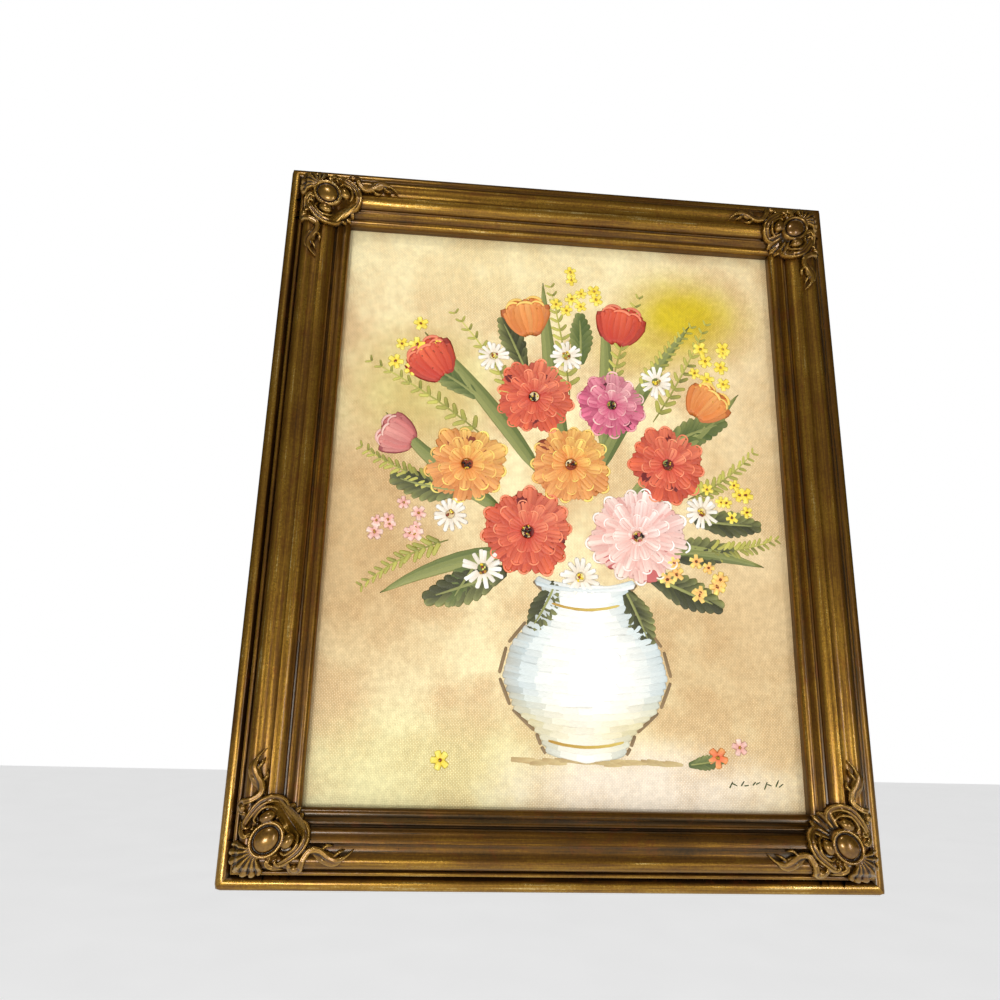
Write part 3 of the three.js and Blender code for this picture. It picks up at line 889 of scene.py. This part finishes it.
# Darker and tanner in the gaps between threads.
gap_darkening = calc(tree, "MULTIPLY", weft["Gaps"], fade(tree, wander, 0.35, 0.65, 0.3, 0.7))
tone = blend(tree, gap_darkening, tone, blend(tree, 1.0, tone, colour(206, 178, 130), "MULTIPLY"))
shade_of_scrub = fade(tree, scrub, 0.25, 0.8, 0.86, 1.1)
grey = node(tree, "CombineColor", {i: shade_of_scrub for i in range(3)}).outputs[0]
tone = blend(tree, 1.0, tone, grey, "MULTIPLY")
fly = use(tree, specks, {"Vector": position, "Size": 0.7, "Amount": 0.055})["Mask"]
tone = blend(tree, calc(tree, "MULTIPLY", fly, 0.55), tone, colour(112, 88, 48))
height = total(tree, (weft["Height"], 0.8), (scrub, 0.3))
surface(tree, shader, {
    "Base Color": tone,
    "Roughness": fade(tree, scrub, 0.2, 0.8, 0.62, 0.44),
    "Normal": relief_bump(tree, height, 0.16, 1.0),
})

# %% Primed cloth and card
primed_cloth, tree, shader = new_material("primed_cloth")
position = in_millimetres(tree)
weft = use(tree, weave, {"Vector": position, "Pitch": THREAD})
tone = blend(tree, weft["Gaps"], colour(226, 218, 200), colour(176, 160, 132))
height = total(tree, weft["Height"])
surface(tree, shader, {"Base Color": tone, "Roughness": 0.85, "Normal": relief_bump(tree, height, 0.2)})

grey_card, tree, shader = new_material("grey_card")
position = in_millimetres(tree)
fibre = noise(tree, position, 0.9, 6.0, 0.75)
stain = use(tree, specks, {"Vector": position, "Size": 2.0, "Amount": 0.1})["Mask"]
tone = shades(tree, fibre, [(0.3, colour(150, 140, 122)), (0.7, colour(184, 174, 154))])
tone = blend(tree, calc(tree, "MULTIPLY", stain, 0.4), tone, colour(104, 88, 66))
surface(tree, shader, {"Base Color": tone, "Roughness": 0.9, "Normal": relief_bump(tree, fibre, 0.08)})

for material in (painted_ground, primed_cloth, grey_card):
    board.data.materials.append(material)

# %% [markdown]
# ## The bouquet, 1: a brush
#
# The flowers are thick oil paint, laid stroke over stroke, and light catches each ridge. So every
# stroke is a small solid: a strip a few squares long and wide, bent along its path, raised in the
# middle and drawn out thin at its end, with its edges sunk into what lies below. All the strokes of
# one layer start as one long grid, cut between strokes and closed beneath. A stroke remembers its
# colour from root to tip, and its own length and width for the marks of the bristles.

# %% Strokes
PAINT_ROWS = 8
PAINT_COLUMNS = 4
brush = random.Random(11)
layer = []


def wobble(amount):
    """A small random number either way."""
    return brush.uniform(-amount, amount)


def between(a, b, t):
    """Part of the way from one row of numbers to another."""
    return tuple(p + (q - p) * t for p, q in zip(a, b))


def stroke(path, width, root, tip, lift=0.05, body=0.16, taper=0.6):
    """Remember one brush stroke along (x, z) points in millimetres from the middle of the canvas."""
    layer.append((path, width, root, tip, lift, body, taper, brush.random()))


def shape_stroke(path, width, root, tip, lift, body, taper, chance):
    """Places, colours and brush coordinates of one stroke's grid, row by row."""
    t = np.linspace(0, 1, PAINT_ROWS + 1)
    spine = curve_through(path, PAINT_ROWS)
    run = np.gradient(spine, axis=0)
    run /= np.maximum(np.linalg.norm(run, axis=1, keepdims=True), 1e-6)
    side = np.stack([-run[:, 1], run[:, 0]], 1)
    start = np.sqrt(np.clip(1 - (1 - np.clip(t / 0.16, 0, 1)) ** 2, 0.12, 1))
    finish = 1 - taper * np.clip((t - 0.45) / 0.55, 0, 1) ** 2
    half = width / 2 * start * np.minimum(finish, np.sqrt(np.clip((1.02 - t) / 0.14, 0.08, 1)))
    s = np.linspace(-1, 1, PAINT_COLUMNS + 1)
    own = np.random.default_rng(int(chance * 1e9))
    ridges = own.uniform(0.65, 1.25, PAINT_COLUMNS + 1)
    swell = np.clip(1 - np.abs(s) ** 2.4, 0, 1) * ridges
    load = np.clip(np.sin(np.pi * np.clip(t * 0.86 + 0.1, 0, 1)), 0, 1) ** 0.5
    height = lift + body * load[:, None] * swell[None, :]
    height[:, [0, -1]] = min(0, lift - 0.12) - 0.03
    height[[0, -1], :] = min(0, lift - 0.12) - 0.03
    x = spine[:, None, 0] + side[:, None, 0] * half[:, None] * s
    z = spine[:, None, 1] + side[:, None, 1] * half[:, None] * s
    travelled = np.concatenate([[0], np.cumsum(np.linalg.norm(np.diff(spine, axis=0), axis=1))])
    streak = own.uniform(-0.22, 0.22, PAINT_COLUMNS + 1)
    mix = np.clip(t[:, None] + streak[None, :], 0, 1)[..., None]
    paint = (np.array(root[:3]) * (1 - mix) + np.array(tip[:3]) * mix) * own.uniform(0.92, 1.06)
    along = np.broadcast_to(travelled[:, None] + chance * 97, x.shape)
    across = s[None, :] * half[:, None] + chance * 31
    return x, height, z, np.clip(paint, 0, 1), along, across


def lay_paint(name, material):
    """Turn the remembered strokes into one piece of paint on the canvas, and clear the layer."""
    rows = (PAINT_ROWS + 1) * len(layer)
    bm = bmesh.new()
    bmesh.ops.create_grid(bm, x_segments=PAINT_COLUMNS, y_segments=rows - 1, size=1)
    bm.verts.ensure_lookup_table()
    between_strokes = []
    for face in bm.faces:
        strokes_met = {vert.index // ((PAINT_COLUMNS + 1) * (PAINT_ROWS + 1)) for vert in face.verts}
        if len(strokes_met) > 1:
            between_strokes.append(face)
    bmesh.ops.delete(bm, geom=between_strokes, context="FACES")
    shaped = [shape_stroke(*one) for one in layer]
    x, height, z, paint, along, across = (np.concatenate([part[i] for part in shaped]) for i in range(6))
    x, height, z, along, across = (value.ravel().tolist() for value in (x, height, z, along, across))
    paint = paint.reshape(-1, 3).tolist()
    paint_layer = bm.verts.layers.float_color.new("paint")
    along_layer = bm.verts.layers.float.new("along")
    across_layer = bm.verts.layers.float.new("across")
    for i, vert in enumerate(bm.verts):
        vert.co = (x[i] * MM, -(BOARD_FRONT + height[i]) * MM, (CENTRE_Z + z[i]) * MM)
        vert[paint_layer] = (*paint[i], 1.0)
        vert[along_layer] = along[i]
        vert[across_layer] = across[i]
    bmesh.ops.holes_fill(bm, edges=[edge for edge in bm.edges if edge.is_boundary], sides=0)
    bmesh.ops.recalc_face_normals(bm, faces=bm.faces)
    for face in bm.faces:
        face.smooth = True
    piece = finish_piece(name, bm, [material])
    triangles = sum(len(polygon.vertices) - 2 for polygon in piece.data.polygons)
    print(name, len(layer), "strokes,", triangles, "triangles")
    layer.clear()
    return piece


# %% Oil paint
oil_paint, tree, shader = new_material("oil_paint")
position = in_millimetres(tree)
bristles = use(tree, streaks, {
    "Along": attribute(tree, "along"), "Across": attribute(tree, "across"), "Length": 7.0, "Width": 0.34,
})
weft = use(tree, weave, {"Vector": position, "Pitch": THREAD})
laid = node(tree, "Attribute", attribute_name="paint").outputs["Color"]
lean = fade(tree, bristles["Fine"], 0.25, 0.75, 0.84, 1.12)
lean_colour = node(tree, "CombineColor", {i: lean for i in range(3)}).outputs[0]
tone = blend(tree, 1.0, laid, lean_colour, "MULTIPLY")
height = total(tree, (bristles["Broad"], 0.4), (bristles["Fine"], 0.45), (weft["Height"], 0.35))
surface(tree, shader, {
    "Base Color": tone,
    "Roughness": fade(tree, bristles["Broad"], 0.3, 0.7, 0.34, 0.52),
    "Coat Weight": 0.15,
    "Coat Roughness": 0.3,
    "Normal": relief_bump(tree, height, 0.14),
})

# %% [markdown]
# ## The bouquet, 2: motifs
#
# A painter repeats a few moves: a petal is a fan of strokes from its root to its rim, a blade is two
# or three long pulls, a blossom is five dabs round a dot. Each move is a function that takes a place,
# a size and its colours, so that no two flowers come out alike but all belong together.

# %% Palette
DEEP_RED, RED, CORAL = colour(112, 14, 10), colour(190, 40, 24), colour(232, 104, 62)
RUST, ORANGE, APRICOT = colour(138, 52, 12), colour(214, 110, 30), colour(240, 172, 96)
PLUM, ROSE = colour(126, 40, 52), colour(196, 96, 92)
PINK, BLUSH = colour(226, 158, 144), colour(246, 222, 206)
MAGENTA = colour(190, 40, 96)
OCHRE, YELLOW, LEMON = colour(178, 128, 18), colour(236, 204, 36), colour(248, 236, 120)
DARK_OLIVE, OLIVE = colour(52, 54, 20), colour(104, 104, 36)
SAGE, MOSS = colour(150, 152, 84), colour(74, 92, 34)
SEED = colour(42, 24, 16)
CHINA, CHINA_BLUE, CHINA_SHADE = colour(240, 238, 228), colour(196, 208, 208), colour(156, 142, 112)
CHINA_LIGHT, CHINA_GOLD = colour(252, 251, 246), colour(222, 196, 96)


# %% Petals and flowers
def turned(x, z, heading):
    """A local place (across, forward) turned to a heading in degrees, measured from +x."""
    angle = math.radians(heading)
    return z * math.cos(angle) - x * math.sin(angle), z * math.sin(angle) + x * math.cos(angle)


def petal(middle, heading, root, length, width, deep, light, lift, pulls=5):
    """A petal as pulls of paint side by side, from root to a round rim, sides first."""
    sides = sorted(np.linspace(-1, 1, pulls), key=lambda side: -abs(side))
    for side in sides:
        path = []
        for forward, spread in ((0.05, 0.25), (0.4, 0.85), (0.78, 0.95), (1 - 0.22 * side * side, 0.72)):
            across = side * width / 2 * spread + wobble(width * 0.03)
            dx, dz = turned(across, root + (length - root) * forward, heading)
            path.append((middle[0] + dx, middle[1] + dz))
        bright = 0.55 + 0.4 * (1 - abs(side)) + wobble(0.2)
        dark = between(deep, light, 0.15 + wobble(0.1))
        raised = lift + 0.05 * (1 - abs(side))
        stroke(path, width / pulls * 1.9, dark, between(deep, light, bright), raised, 0.16, 0.25)


def rim(middle, heading, length, width, paint, lift):
    """A light touch along a petal's outer edge."""
    path = []
    for side in (-0.8, -0.3, 0.3, 0.8):
        dx, dz = turned(side * width / 2 * 0.8, length * (1 - 0.16 * side * side), heading)
        path.append((middle[0] + dx, middle[1] + dz))
    stroke(path, width * 0.13, paint, paint, lift, 0.2, 0.7)


def dabs(middle, reach, count, width, paints, lift):
    """Short round touches scattered about a place."""
    for _ in range(count):
        far, heading = reach * math.sqrt(brush.random()), brush.uniform(0, 360)
        dx, dz = turned(0, far, heading)
        ex, ez = turned(0, width * 0.6, brush.uniform(0, 360))
        place = (middle[0] + dx, middle[1] + dz)
        paint = brush.choice(paints)
        path = [place, (place[0] + ex, place[1] + ez)]
        stroke(path, width, paint, paint, lift + brush.random() * 0.1, 0.22, 0.3)


def dahlia(middle, size, paints, rings=3, petals=11, lift=0.1):
    """Rings of petals, each ring shorter and higher than the last, round a seeded heart."""
    shadow, deep, light, edge = paints
    dabs(middle, size * 0.7, 10, size * 0.5, [shadow], lift * 0.4)
    for ring in range(rings):
        length = size * (1 - 0.27 * ring)
        count = petals - 2 * ring
        first = brush.uniform(0, 360)
        for k in range(count):
            heading = first + 360 * k / count + wobble(7)
            reach = length * (1 + wobble(0.08))
            width = 2 * math.pi * reach * 0.62 / count * 1.35
            glow = between(light, edge, 0.45 * max(0, math.cos(math.radians(heading - 60))) + 0.12 * ring)
            petal(middle, heading, size * 0.1, reach, width, between(shadow, deep, 0.5 + 0.25 * ring), glow,
                  lift + 0.14 * ring)
            touch = between(light, edge, 0.55 + wobble(0.3))
            rim(middle, heading, reach, width, touch, lift + 0.14 * ring + 0.1)
    top = lift + 0.14 * rings
    dabs(middle, size * 0.1, 7, size * 0.09, [SEED, SEED, shadow], top + 0.1)
    dabs(middle, size * 0.14, 5, size * 0.05, [OCHRE, YELLOW], top + 0.16)


def tulip(middle, size, heading, paints, lift=0.12):
    """A closed cup: two petals behind, two at the sides and one in front."""
    shadow, deep, light, edge = paints
    for turn, reach, width, dark, raised in (
        (-14, 1.0, 0.62, 0.0, 0.0), (15, 0.97, 0.62, 0.05, 0.02),
        (-20, 0.9, 0.52, 0.5, 0.12), (21, 0.92, 0.52, 0.75, 0.14), (1, 0.86, 0.66, 0.9, 0.24),
    ):
        tone = between(shadow, deep, dark)
        glow = between(deep, light, 0.25 + dark * 0.75)
        petal(middle, heading + turn, 0, size * reach, size * width, tone, glow, lift + raised, 6)
        rim(middle, heading + turn, size * reach, size * width, between(glow, edge, 0.5), lift + raised + 0.1)


def daisy(middle, size, paints, lift=0.2, petals=14):
    """Narrow petals round a yellow button."""
    deep, light = paints
    first = brush.uniform(0, 360)
    for k in range(petals):
        heading = first + 360 * k / petals + wobble(6)
        root = turned(0, size * 0.2, heading)
        tip = turned(wobble(size * 0.08), size * (1 + wobble(0.12)), heading)
        path = [(middle[0] + root[0], middle[1] + root[1]), (middle[0] + tip[0], middle[1] + tip[1])]
        bright = between(deep, light, 0.8 + wobble(0.2))
        stroke(path, size * 0.3, between(deep, light, 0.3), bright, lift, 0.2, 0.1)
    dabs(middle, size * 0.2, 6, size * 0.2, [OCHRE, YELLOW, RUST], lift + 0.16)
    dabs((middle[0] + 0.3, middle[1] + 0.4), size * 0.1, 2, size * 0.14, [LEMON], lift + 0.26)


def blossom(middle, size, paints, lift=0.16):
    """Five dabs round a dot."""
    first = brush.uniform(0, 72)
    for k in range(5):
        root, tip = turned(0, size * 0.1, first + 72 * k), turned(0, size, first + 72 * k + wobble(9))
        path = [(middle[0] + root[0], middle[1] + root[1]), (middle[0] + tip[0], middle[1] + tip[1])]
        stroke(path, size * 0.72, paints[0], between(paints[0], paints[1], 0.7 + wobble(0.3)), lift, 0.2, 0.0)
    dabs(middle, size * 0.08, 2, size * 0.34, [paints[2]], lift + 0.14)


# %% Leaves, blades and sprays
def leaf(foot, heading, length, width, paints, lift=0.06, bend=0.0):
    """A pointed leaf: strokes that leave the middle rib on both sides, then the rib."""
    deep, light = paints
    spine = []
    for t in np.linspace(0, 1, 5):
        dx, dz = turned(bend * length * t * t, length * t, heading)
        spine.append((foot[0] + dx, foot[1] + dz))
    ribs = curve_through(spine, 9)
    for i in range(1, 9):
        full = math.sin(math.pi * (i / 9) ** 0.8)
        for side in (-1, 1):
            dx, dz = turned(side * width / 2 * full, length * 0.17, heading)
            x, z = ribs[i]
            path = [tuple(ribs[i - 1]), (x + dx * 0.6, z + dz * 0.6), (x + dx, z + dz)]
            shade_side = 0.25 if side < 0 else 0.8
            stroke(path, width * 0.34, deep, between(deep, light, shade_side + wobble(0.2)), lift, 0.13, 0.7)
    stroke(spine, width * 0.1 + 0.3, light, between(light, deep, 0.3), lift + 0.1, 0.12, 0.8)


def blade(foot, heading, length, width, paints, bend, lift=0.04):
    """A long narrow leaf in three pulls."""
    for k, share in enumerate((-0.3, 0.3, 0.0)):
        path = []
        for t in (0, 0.35, 0.7, 1):
            off = share * width * math.sin(math.pi * min(1, t + 0.12)) + bend * length * t * t
            dx, dz = turned(off, length * t, heading)
            path.append((foot[0] + dx, foot[1] + dz))
        paint = between(paints[0], paints[1], (0.15, 0.8, 0.5)[k])
        stroke(path, width * 0.62, paint, between(paint, paints[1], 0.4), lift + 0.03 * k, 0.13, 0.92)


def spray(foot, heading, length, paints, bend=0.0, leaves=11, size=5.0, lift=0.04):
    """A thin stem with small round leaves in pairs, smaller towards the tip."""
    spine = []
    for t in np.linspace(0, 1, 5):
        dx, dz = turned(bend * length * t * t, length * t, heading)
        spine.append((foot[0] + dx, foot[1] + dz))
    stroke(spine, 1.0, paints[0], paints[1], lift, 0.12, 0.5)
    stem = curve_through(spine, leaves + 1)
    for i in range(2, leaves + 2):
        reach = size * (1.15 - 0.6 * i / leaves)
        for side in (-1, 1):
            dx, dz = turned(side * reach * 0.8, reach * 0.75, heading + bend * 57 * i / leaves + wobble(14))
            place = tuple(stem[i])
            path = [place, (place[0] + dx * 0.55, place[1] + dz * 0.45), (place[0] + dx, place[1] + dz)]
            paint = between(paints[0], paints[1], 0.3 + 0.25 * side + brush.random() * 0.45)
            stroke(path, reach * 0.42, paint, between(paint, paints[1], 0.5), lift + 0.06, 0.13, 0.35)


# %% [markdown]
# ## The bouquet, 3: the picture
#
# The still life is a plain one of this builder's own: a round white jar a little right of the
# middle, dahlias and tulips in reds and oranges, a pale pink one, daisies, and yellow sprigs at the
# edges, with olive leaves behind. It is laid from back to front in three layers, as it would be
# painted: leaves and sprays, then the jar, then the flowers.

# %% Leaves and sprays behind
GREENS = (DARK_OLIVE, SAGE)
MID_GREENS = (MOSS, SAGE)
YELLOW_GREENS = (OLIVE, colour(196, 190, 86))
for foot, heading, length, bend in (
    ((-14, 30), 112, 62, 0.18), ((-30, 24), 140, 62, 0.12), ((20, 40), 82, 58, -0.12),
    ((38, 34), 56, 58, 0.1),
    ((52, 2), 22, 38, 0.25), ((-48, 4), 168, 38, -0.2), ((4, 44), 96, 56, 0.06), ((58, -18), -8, 32, 0.3),
    ((-44, -18), 196, 40, 0.25), ((34, 46), 68, 44, -0.2),
):
    spray(foot, heading, length, YELLOW_GREENS, bend, leaves=12, size=5.4)
for foot, heading, length, bend in (
    ((-8, 10), 124, 84, 0.1), ((14, 10), 66, 88, -0.12), ((2, 20), 102, 84, -0.08), ((26, 0), 38, 76, 0.12),
    ((-24, -6), 150, 66, -0.16), ((18, 20), 84, 72, 0.1), ((30, -20), 6, 56, -0.2),
    ((-20, -22), 188, 56, 0.22),
):
    blade(foot, heading, length, 6.5, MID_GREENS, bend)
for foot, heading, length, width in (
    ((-22, -30), 205, 34, 15), ((-30, -22), 232, 26, 12), ((36, -30), -22, 32, 14), ((42, -22), 12, 30, 13),
    ((-40, 2), 178, 30, 13), ((-36, 44), 140, 26, 12), ((44, 26), 30, 30, 13), ((8, 62), 86, 24, 11),
    ((-2, -34), 250, 22, 12), ((26, -36), -62, 24, 12), ((-16, 58), 112, 26, 11), ((56, -6), -4, 28, 12),
):
    leaf(foot, heading, length, width, GREENS if brush.random() < 0.6 else MID_GREENS, bend=wobble(0.15))
lay_paint("painted_leaves", oil_paint)

# %% White jar
JAR_X = 10.0
JAR = [
    (-101, 15), (-98, 17), (-93, 19), (-84, 29), (-72, 34), (-60, 31), (-50, 23), (-43, 17), (-38, 17),
    (-34, 21),
]
JAR_ROUND = 3.2


def jar_half(z):
    """Half the jar's width at a height."""
    return float(np.interp(z, [p[0] for p in JAR], [p[1] for p in JAR]))


def jar_paint(side, z):
    """The jar's colour from its left to its right edge: shade, body, light, and warm light from the table."""
    steps = (
        (-1, CHINA_SHADE), (-0.72, CHINA_BLUE), (-0.3, CHINA), (0.25, CHINA_LIGHT), (0.65, CHINA),
        (1, CHINA_BLUE),
    )
    for (a, first), (b, second) in zip(steps, steps[1:]):
        if side <= b:
            paint = between(first, second, (side - a) / (b - a))
            break
    warm = max(0, 1 - abs(z + 90) / 14) * 0.65
    return between(paint, CHINA_GOLD, warm * (0.5 + 0.5 * abs(side)))


for side in (-1, 1):
    for a, b in zip(JAR, JAR[1:]):
        edge = [(JAR_X + side * (half + 0.5), z) for z, half in (a, b)]
        stroke(edge, 2.0, colour(140, 112, 70), colour(120, 96, 60), 0.02, 0.1, 0.1)
for row in range(27):
    z = -99 + row * 2.5
    half = jar_half(z)
    pulls = max(5, int(half / 3.2))
    for k in range(pulls):
        a, b = (-1 + 2 * share / pulls for share in (k - 0.25, k + 1.25))
        middle = (a + b) / 2
        path = []
        for s in (a, middle, b):
            x = JAR_X + half * max(-1, min(1, s)) * 0.98
            path.append((x, z - JAR_ROUND * (1 - s * s) + wobble(0.4)))
        paint = between(jar_paint(max(-1, min(1, middle)), z), CHINA, brush.random() * 0.25)
        stroke(path, 4.0, paint, jar_paint(max(-1, min(1, b)), z), 0.08 + wobble(0.02), 0.12, 0.2)
for band, paint in ((-42, CHINA_GOLD), (-95, CHINA_GOLD)):
    half = jar_half(band)
    path = [(JAR_X + half * s, band - JAR_ROUND * (1 - s * s)) for s in (-0.96, -0.5, 0, 0.5, 0.96)]
    stroke(path, 1.6, OCHRE, paint, 0.2, 0.14, 0.1)
for k in range(7):
    x = JAR_X + 9 + wobble(3)
    stroke([(x, -56 - 3 * k), (x + 2.5, -59 - 3 * k)], 3.4, CHINA_LIGHT, CHINA_LIGHT, 0.24, 0.2, 0.3)
mouth = np.linspace(math.pi * 1.02, -math.pi * 0.02, 7)
lip = [(JAR_X + 21 * math.cos(a), -34 - 3.4 * math.sin(a)) for a in mouth]
stroke(lip, 2.4, CHINA_BLUE, CHINA_LIGHT, 0.22, 0.2, 0.1)
for k in range(26):
    x = JAR_X + 30 * (k / 12.5 - 1)
    path = [(x, -103.5 + wobble(0.8)), (x + 9, -103.8 + wobble(0.8))]
    stroke(path, 3.0, colour(176, 146, 92), colour(206, 184, 128), 0.0, 0.06, 0.7)
lay_paint("painted_jar", oil_paint)

# %% Flowers
REDS = (DEEP_RED, RED, CORAL, colour(246, 160, 120))
ORANGES = (RUST, ORANGE, APRICOT, LEMON)
PINKS = (PLUM, ROSE, PINK, BLUSH)
PALES = (ROSE, PINK, BLUSH, CHINA_LIGHT)
CRIMSONS = (colour(84, 8, 22), MAGENTA, colour(226, 110, 140), BLUSH)
for middle, size, heading, paints in (
    ((-50, 52), 21, 128, REDS), ((-14, 74), 20, 100, ORANGES), ((24, 72), 21, 78, REDS),
    ((58, 40), 19, 48, ORANGES),
    ((-62, 22), 17, 156, PINKS),
):
    tulip(middle, size, heading, paints)
for middle, size, paints, rings, petals in (
    ((-40, 14), 17, ORANGES, 3, 11), ((46, 18), 17, REDS, 3, 11), ((-12, 46), 17, REDS, 3, 12),
    ((22, 44), 15, CRIMSONS, 3, 10), ((32, -14), 21, PALES, 4, 13), ((-14, -14), 19, REDS, 3, 12),
    ((4, 16), 18, ORANGES, 3, 12),
):
    dahlia(middle, size, paints, rings, petals)
for middle, size in (
    ((-32, -30), 8.5), ((-46, -8), 7.5), ((8, -32), 8.0), ((60, -2), 7.5), ((2, 66), 7.5),
    ((-30, 64), 7), ((42, 56), 7.5),
):
    daisy(middle, size, (colour(214, 190, 150), CHINA_LIGHT))
for centre, count, reach, paints in (
    ((-66, 66), 11, 15, (YELLOW, LEMON, RUST)), ((70, 62), 10, 14, (YELLOW, LEMON, OCHRE)),
    ((74, 4), 8, 12, (YELLOW, LEMON, RUST)), ((-70, -10), 9, 13, (PINK, BLUSH, OCHRE)),
    ((4, 96), 9, 14, (YELLOW, LEMON, OCHRE)),
    ((56, -32), 9, 12, (APRICOT, LEMON, RUST)),
):
    for _ in range(count):
        far, heading = reach * math.sqrt(brush.random()), brush.uniform(0, 360)
        dx, dz = turned(0, far, heading)
        blossom((centre[0] + dx, centre[1] + dz), brush.uniform(2.6, 3.8), paints)
for middle, size, paints in (
    ((62, -101), 4.2, (CORAL, APRICOT, OCHRE)), ((71, -97), 3.4, (PINK, BLUSH, OCHRE)),
    ((-46, -104), 3.8, (YELLOW, LEMON, RUST)),
):
    blossom(middle, size, paints)
leaf((50, -104), 8, 14, 6, MID_GREENS)
for k in range(5):
    x = 66 + 4.6 * k
    stroke([(x, -112 + wobble(1)), (x + 1.6, -108.5 + wobble(1))], 0.8, MOSS, DARK_OLIVE, 0.02, 0.08, 0.5)
    path = [(x + 1.2, -111 + wobble(1)), (x + 3.4, -110.4 + wobble(1))]
    stroke(path, 0.7, MOSS, DARK_OLIVE, 0.02, 0.08, 0.6)
lay_paint("painted_flowers", oil_paint)

# %% [markdown]
# ## Camera, light and floor
#
# The picture leans back from a camera that stands close to its lower part and a little to the left,
# so the sides run together towards the top. The lens is a short one. A broad softbox in front, to the
# left and below, gives the long highlights on the round members. A narrow one from the right picks out
# the crests, and a small lamp above sparks on the ornaments. The world is plain white to the eye, and
# as a light it is dimmer and comes mostly from the front, so that the gold keeps its depth.

# %% Camera
camera_data = bpy.data.cameras.new("camera")
camera_data.lens = 28.34
camera_data.sensor_width = 36
camera = bpy.data.objects.new("camera", camera_data)
bpy.context.scene.collection.objects.link(camera)
camera.location = (-51.1 * MM, -324.9 * MM, (CENTRE_Z - 87.5) * MM)
camera.rotation_euler = [math.radians(angle) for angle in (105.375, -1.382, -5.011)]
bpy.context.scene.camera = camera


# %% Softboxes
MIDDLE = Vector((0, 0, CENTRE_Z * MM))


def softbox(name, place, size, power):
    """A square studio light that looks at the middle of the picture."""
    light = bpy.data.lights.new(name, "AREA")
    light.shape = "RECTANGLE"
    light.size, light.size_y = size
    light.energy = power
    lamp = bpy.data.objects.new(name, light)
    lamp.location = MIDDLE + Vector(place)
    lamp.rotation_euler = (-Vector(place)).to_track_quat("-Z", "Y").to_euler()
    bpy.context.scene.collection.objects.link(lamp)


softbox("window", (-0.4, -1.6, -0.35), (0.4, 0.25), 8)
softbox("ceiling_lamp", (-0.3, -1.1, 1.2), (0.16, 0.16), 4)
softbox("side_light", (0.85, -1.5, -0.2), (0.1, 0.5), 4)

# %% White room
world = bpy.data.worlds.new("white_room")
bpy.context.scene.world = world
world.use_nodes = True
tree = world.node_tree
tree.nodes.clear()
ray = node(tree, "LightPath").outputs
look = node(tree, "SeparateXYZ", {"Vector": node(tree, "TexCoord").outputs["Generated"]}).outputs
ahead = total(tree, (look["Y"], -1.0), (look["Z"], -0.1), (look["X"], -0.2))
lean = total(tree, (look["X"], -0.4), (look["Y"], -0.6), (look["Z"], -0.5))
glow = fade(tree, ahead, 0.2, 1.0, 0.03, 0.2)
eye = node(tree, "Background", {"Color": (1, 1, 1, 1), "Strength": 1.0}).outputs[0]
dim = node(tree, "Background", {"Color": (1, 1, 1, 1), "Strength": glow}).outputs[0]
spread = fade(tree, lean, -0.9, 0.9, 0.3, 1.2)
soft = node(tree, "Background", {"Color": (1, 1, 1, 1), "Strength": spread}).outputs[0]
lit = node(tree, "MixShader", {0: ray["Is Diffuse Ray"], 1: dim, 2: soft}).outputs[0]
seen = node(tree, "MixShader", {0: ray["Is Camera Ray"], 1: lit, 2: eye}).outputs[0]
tree.links.new(seen, node(tree, "OutputWorld").inputs["Surface"])
bpy.context.scene.view_settings.view_transform = "Standard"

# %% Pale floor
FLOOR_DROP = 1.2
bm = bmesh.new()
down = Matrix.Translation((0, 0, -FLOOR_DROP))
bmesh.ops.create_grid(bm, x_segments=1, y_segments=1, size=14, matrix=down)
pale_floor, tree, shader = new_material("pale_floor")
grain = noise(tree, node(tree, "TexCoord").outputs["Object"], 3.0, 3.0)
tone = shades(tree, grain, [(0.3, colour(250, 250, 250)), (0.7, colour(255, 255, 255))])
surface(tree, shader, {
    "Base Color": tone, "Roughness": 0.9, "Emission Color": (1, 1, 1, 1), "Emission Strength": 0.3,
})
floor_mesh = bpy.data.meshes.new("floor")
bm.to_mesh(floor_mesh)
bm.free()
floor_mesh.materials.append(pale_floor)
floor = bpy.data.objects.new("floor", floor_mesh)
bpy.context.scene.collection.objects.link(floor)
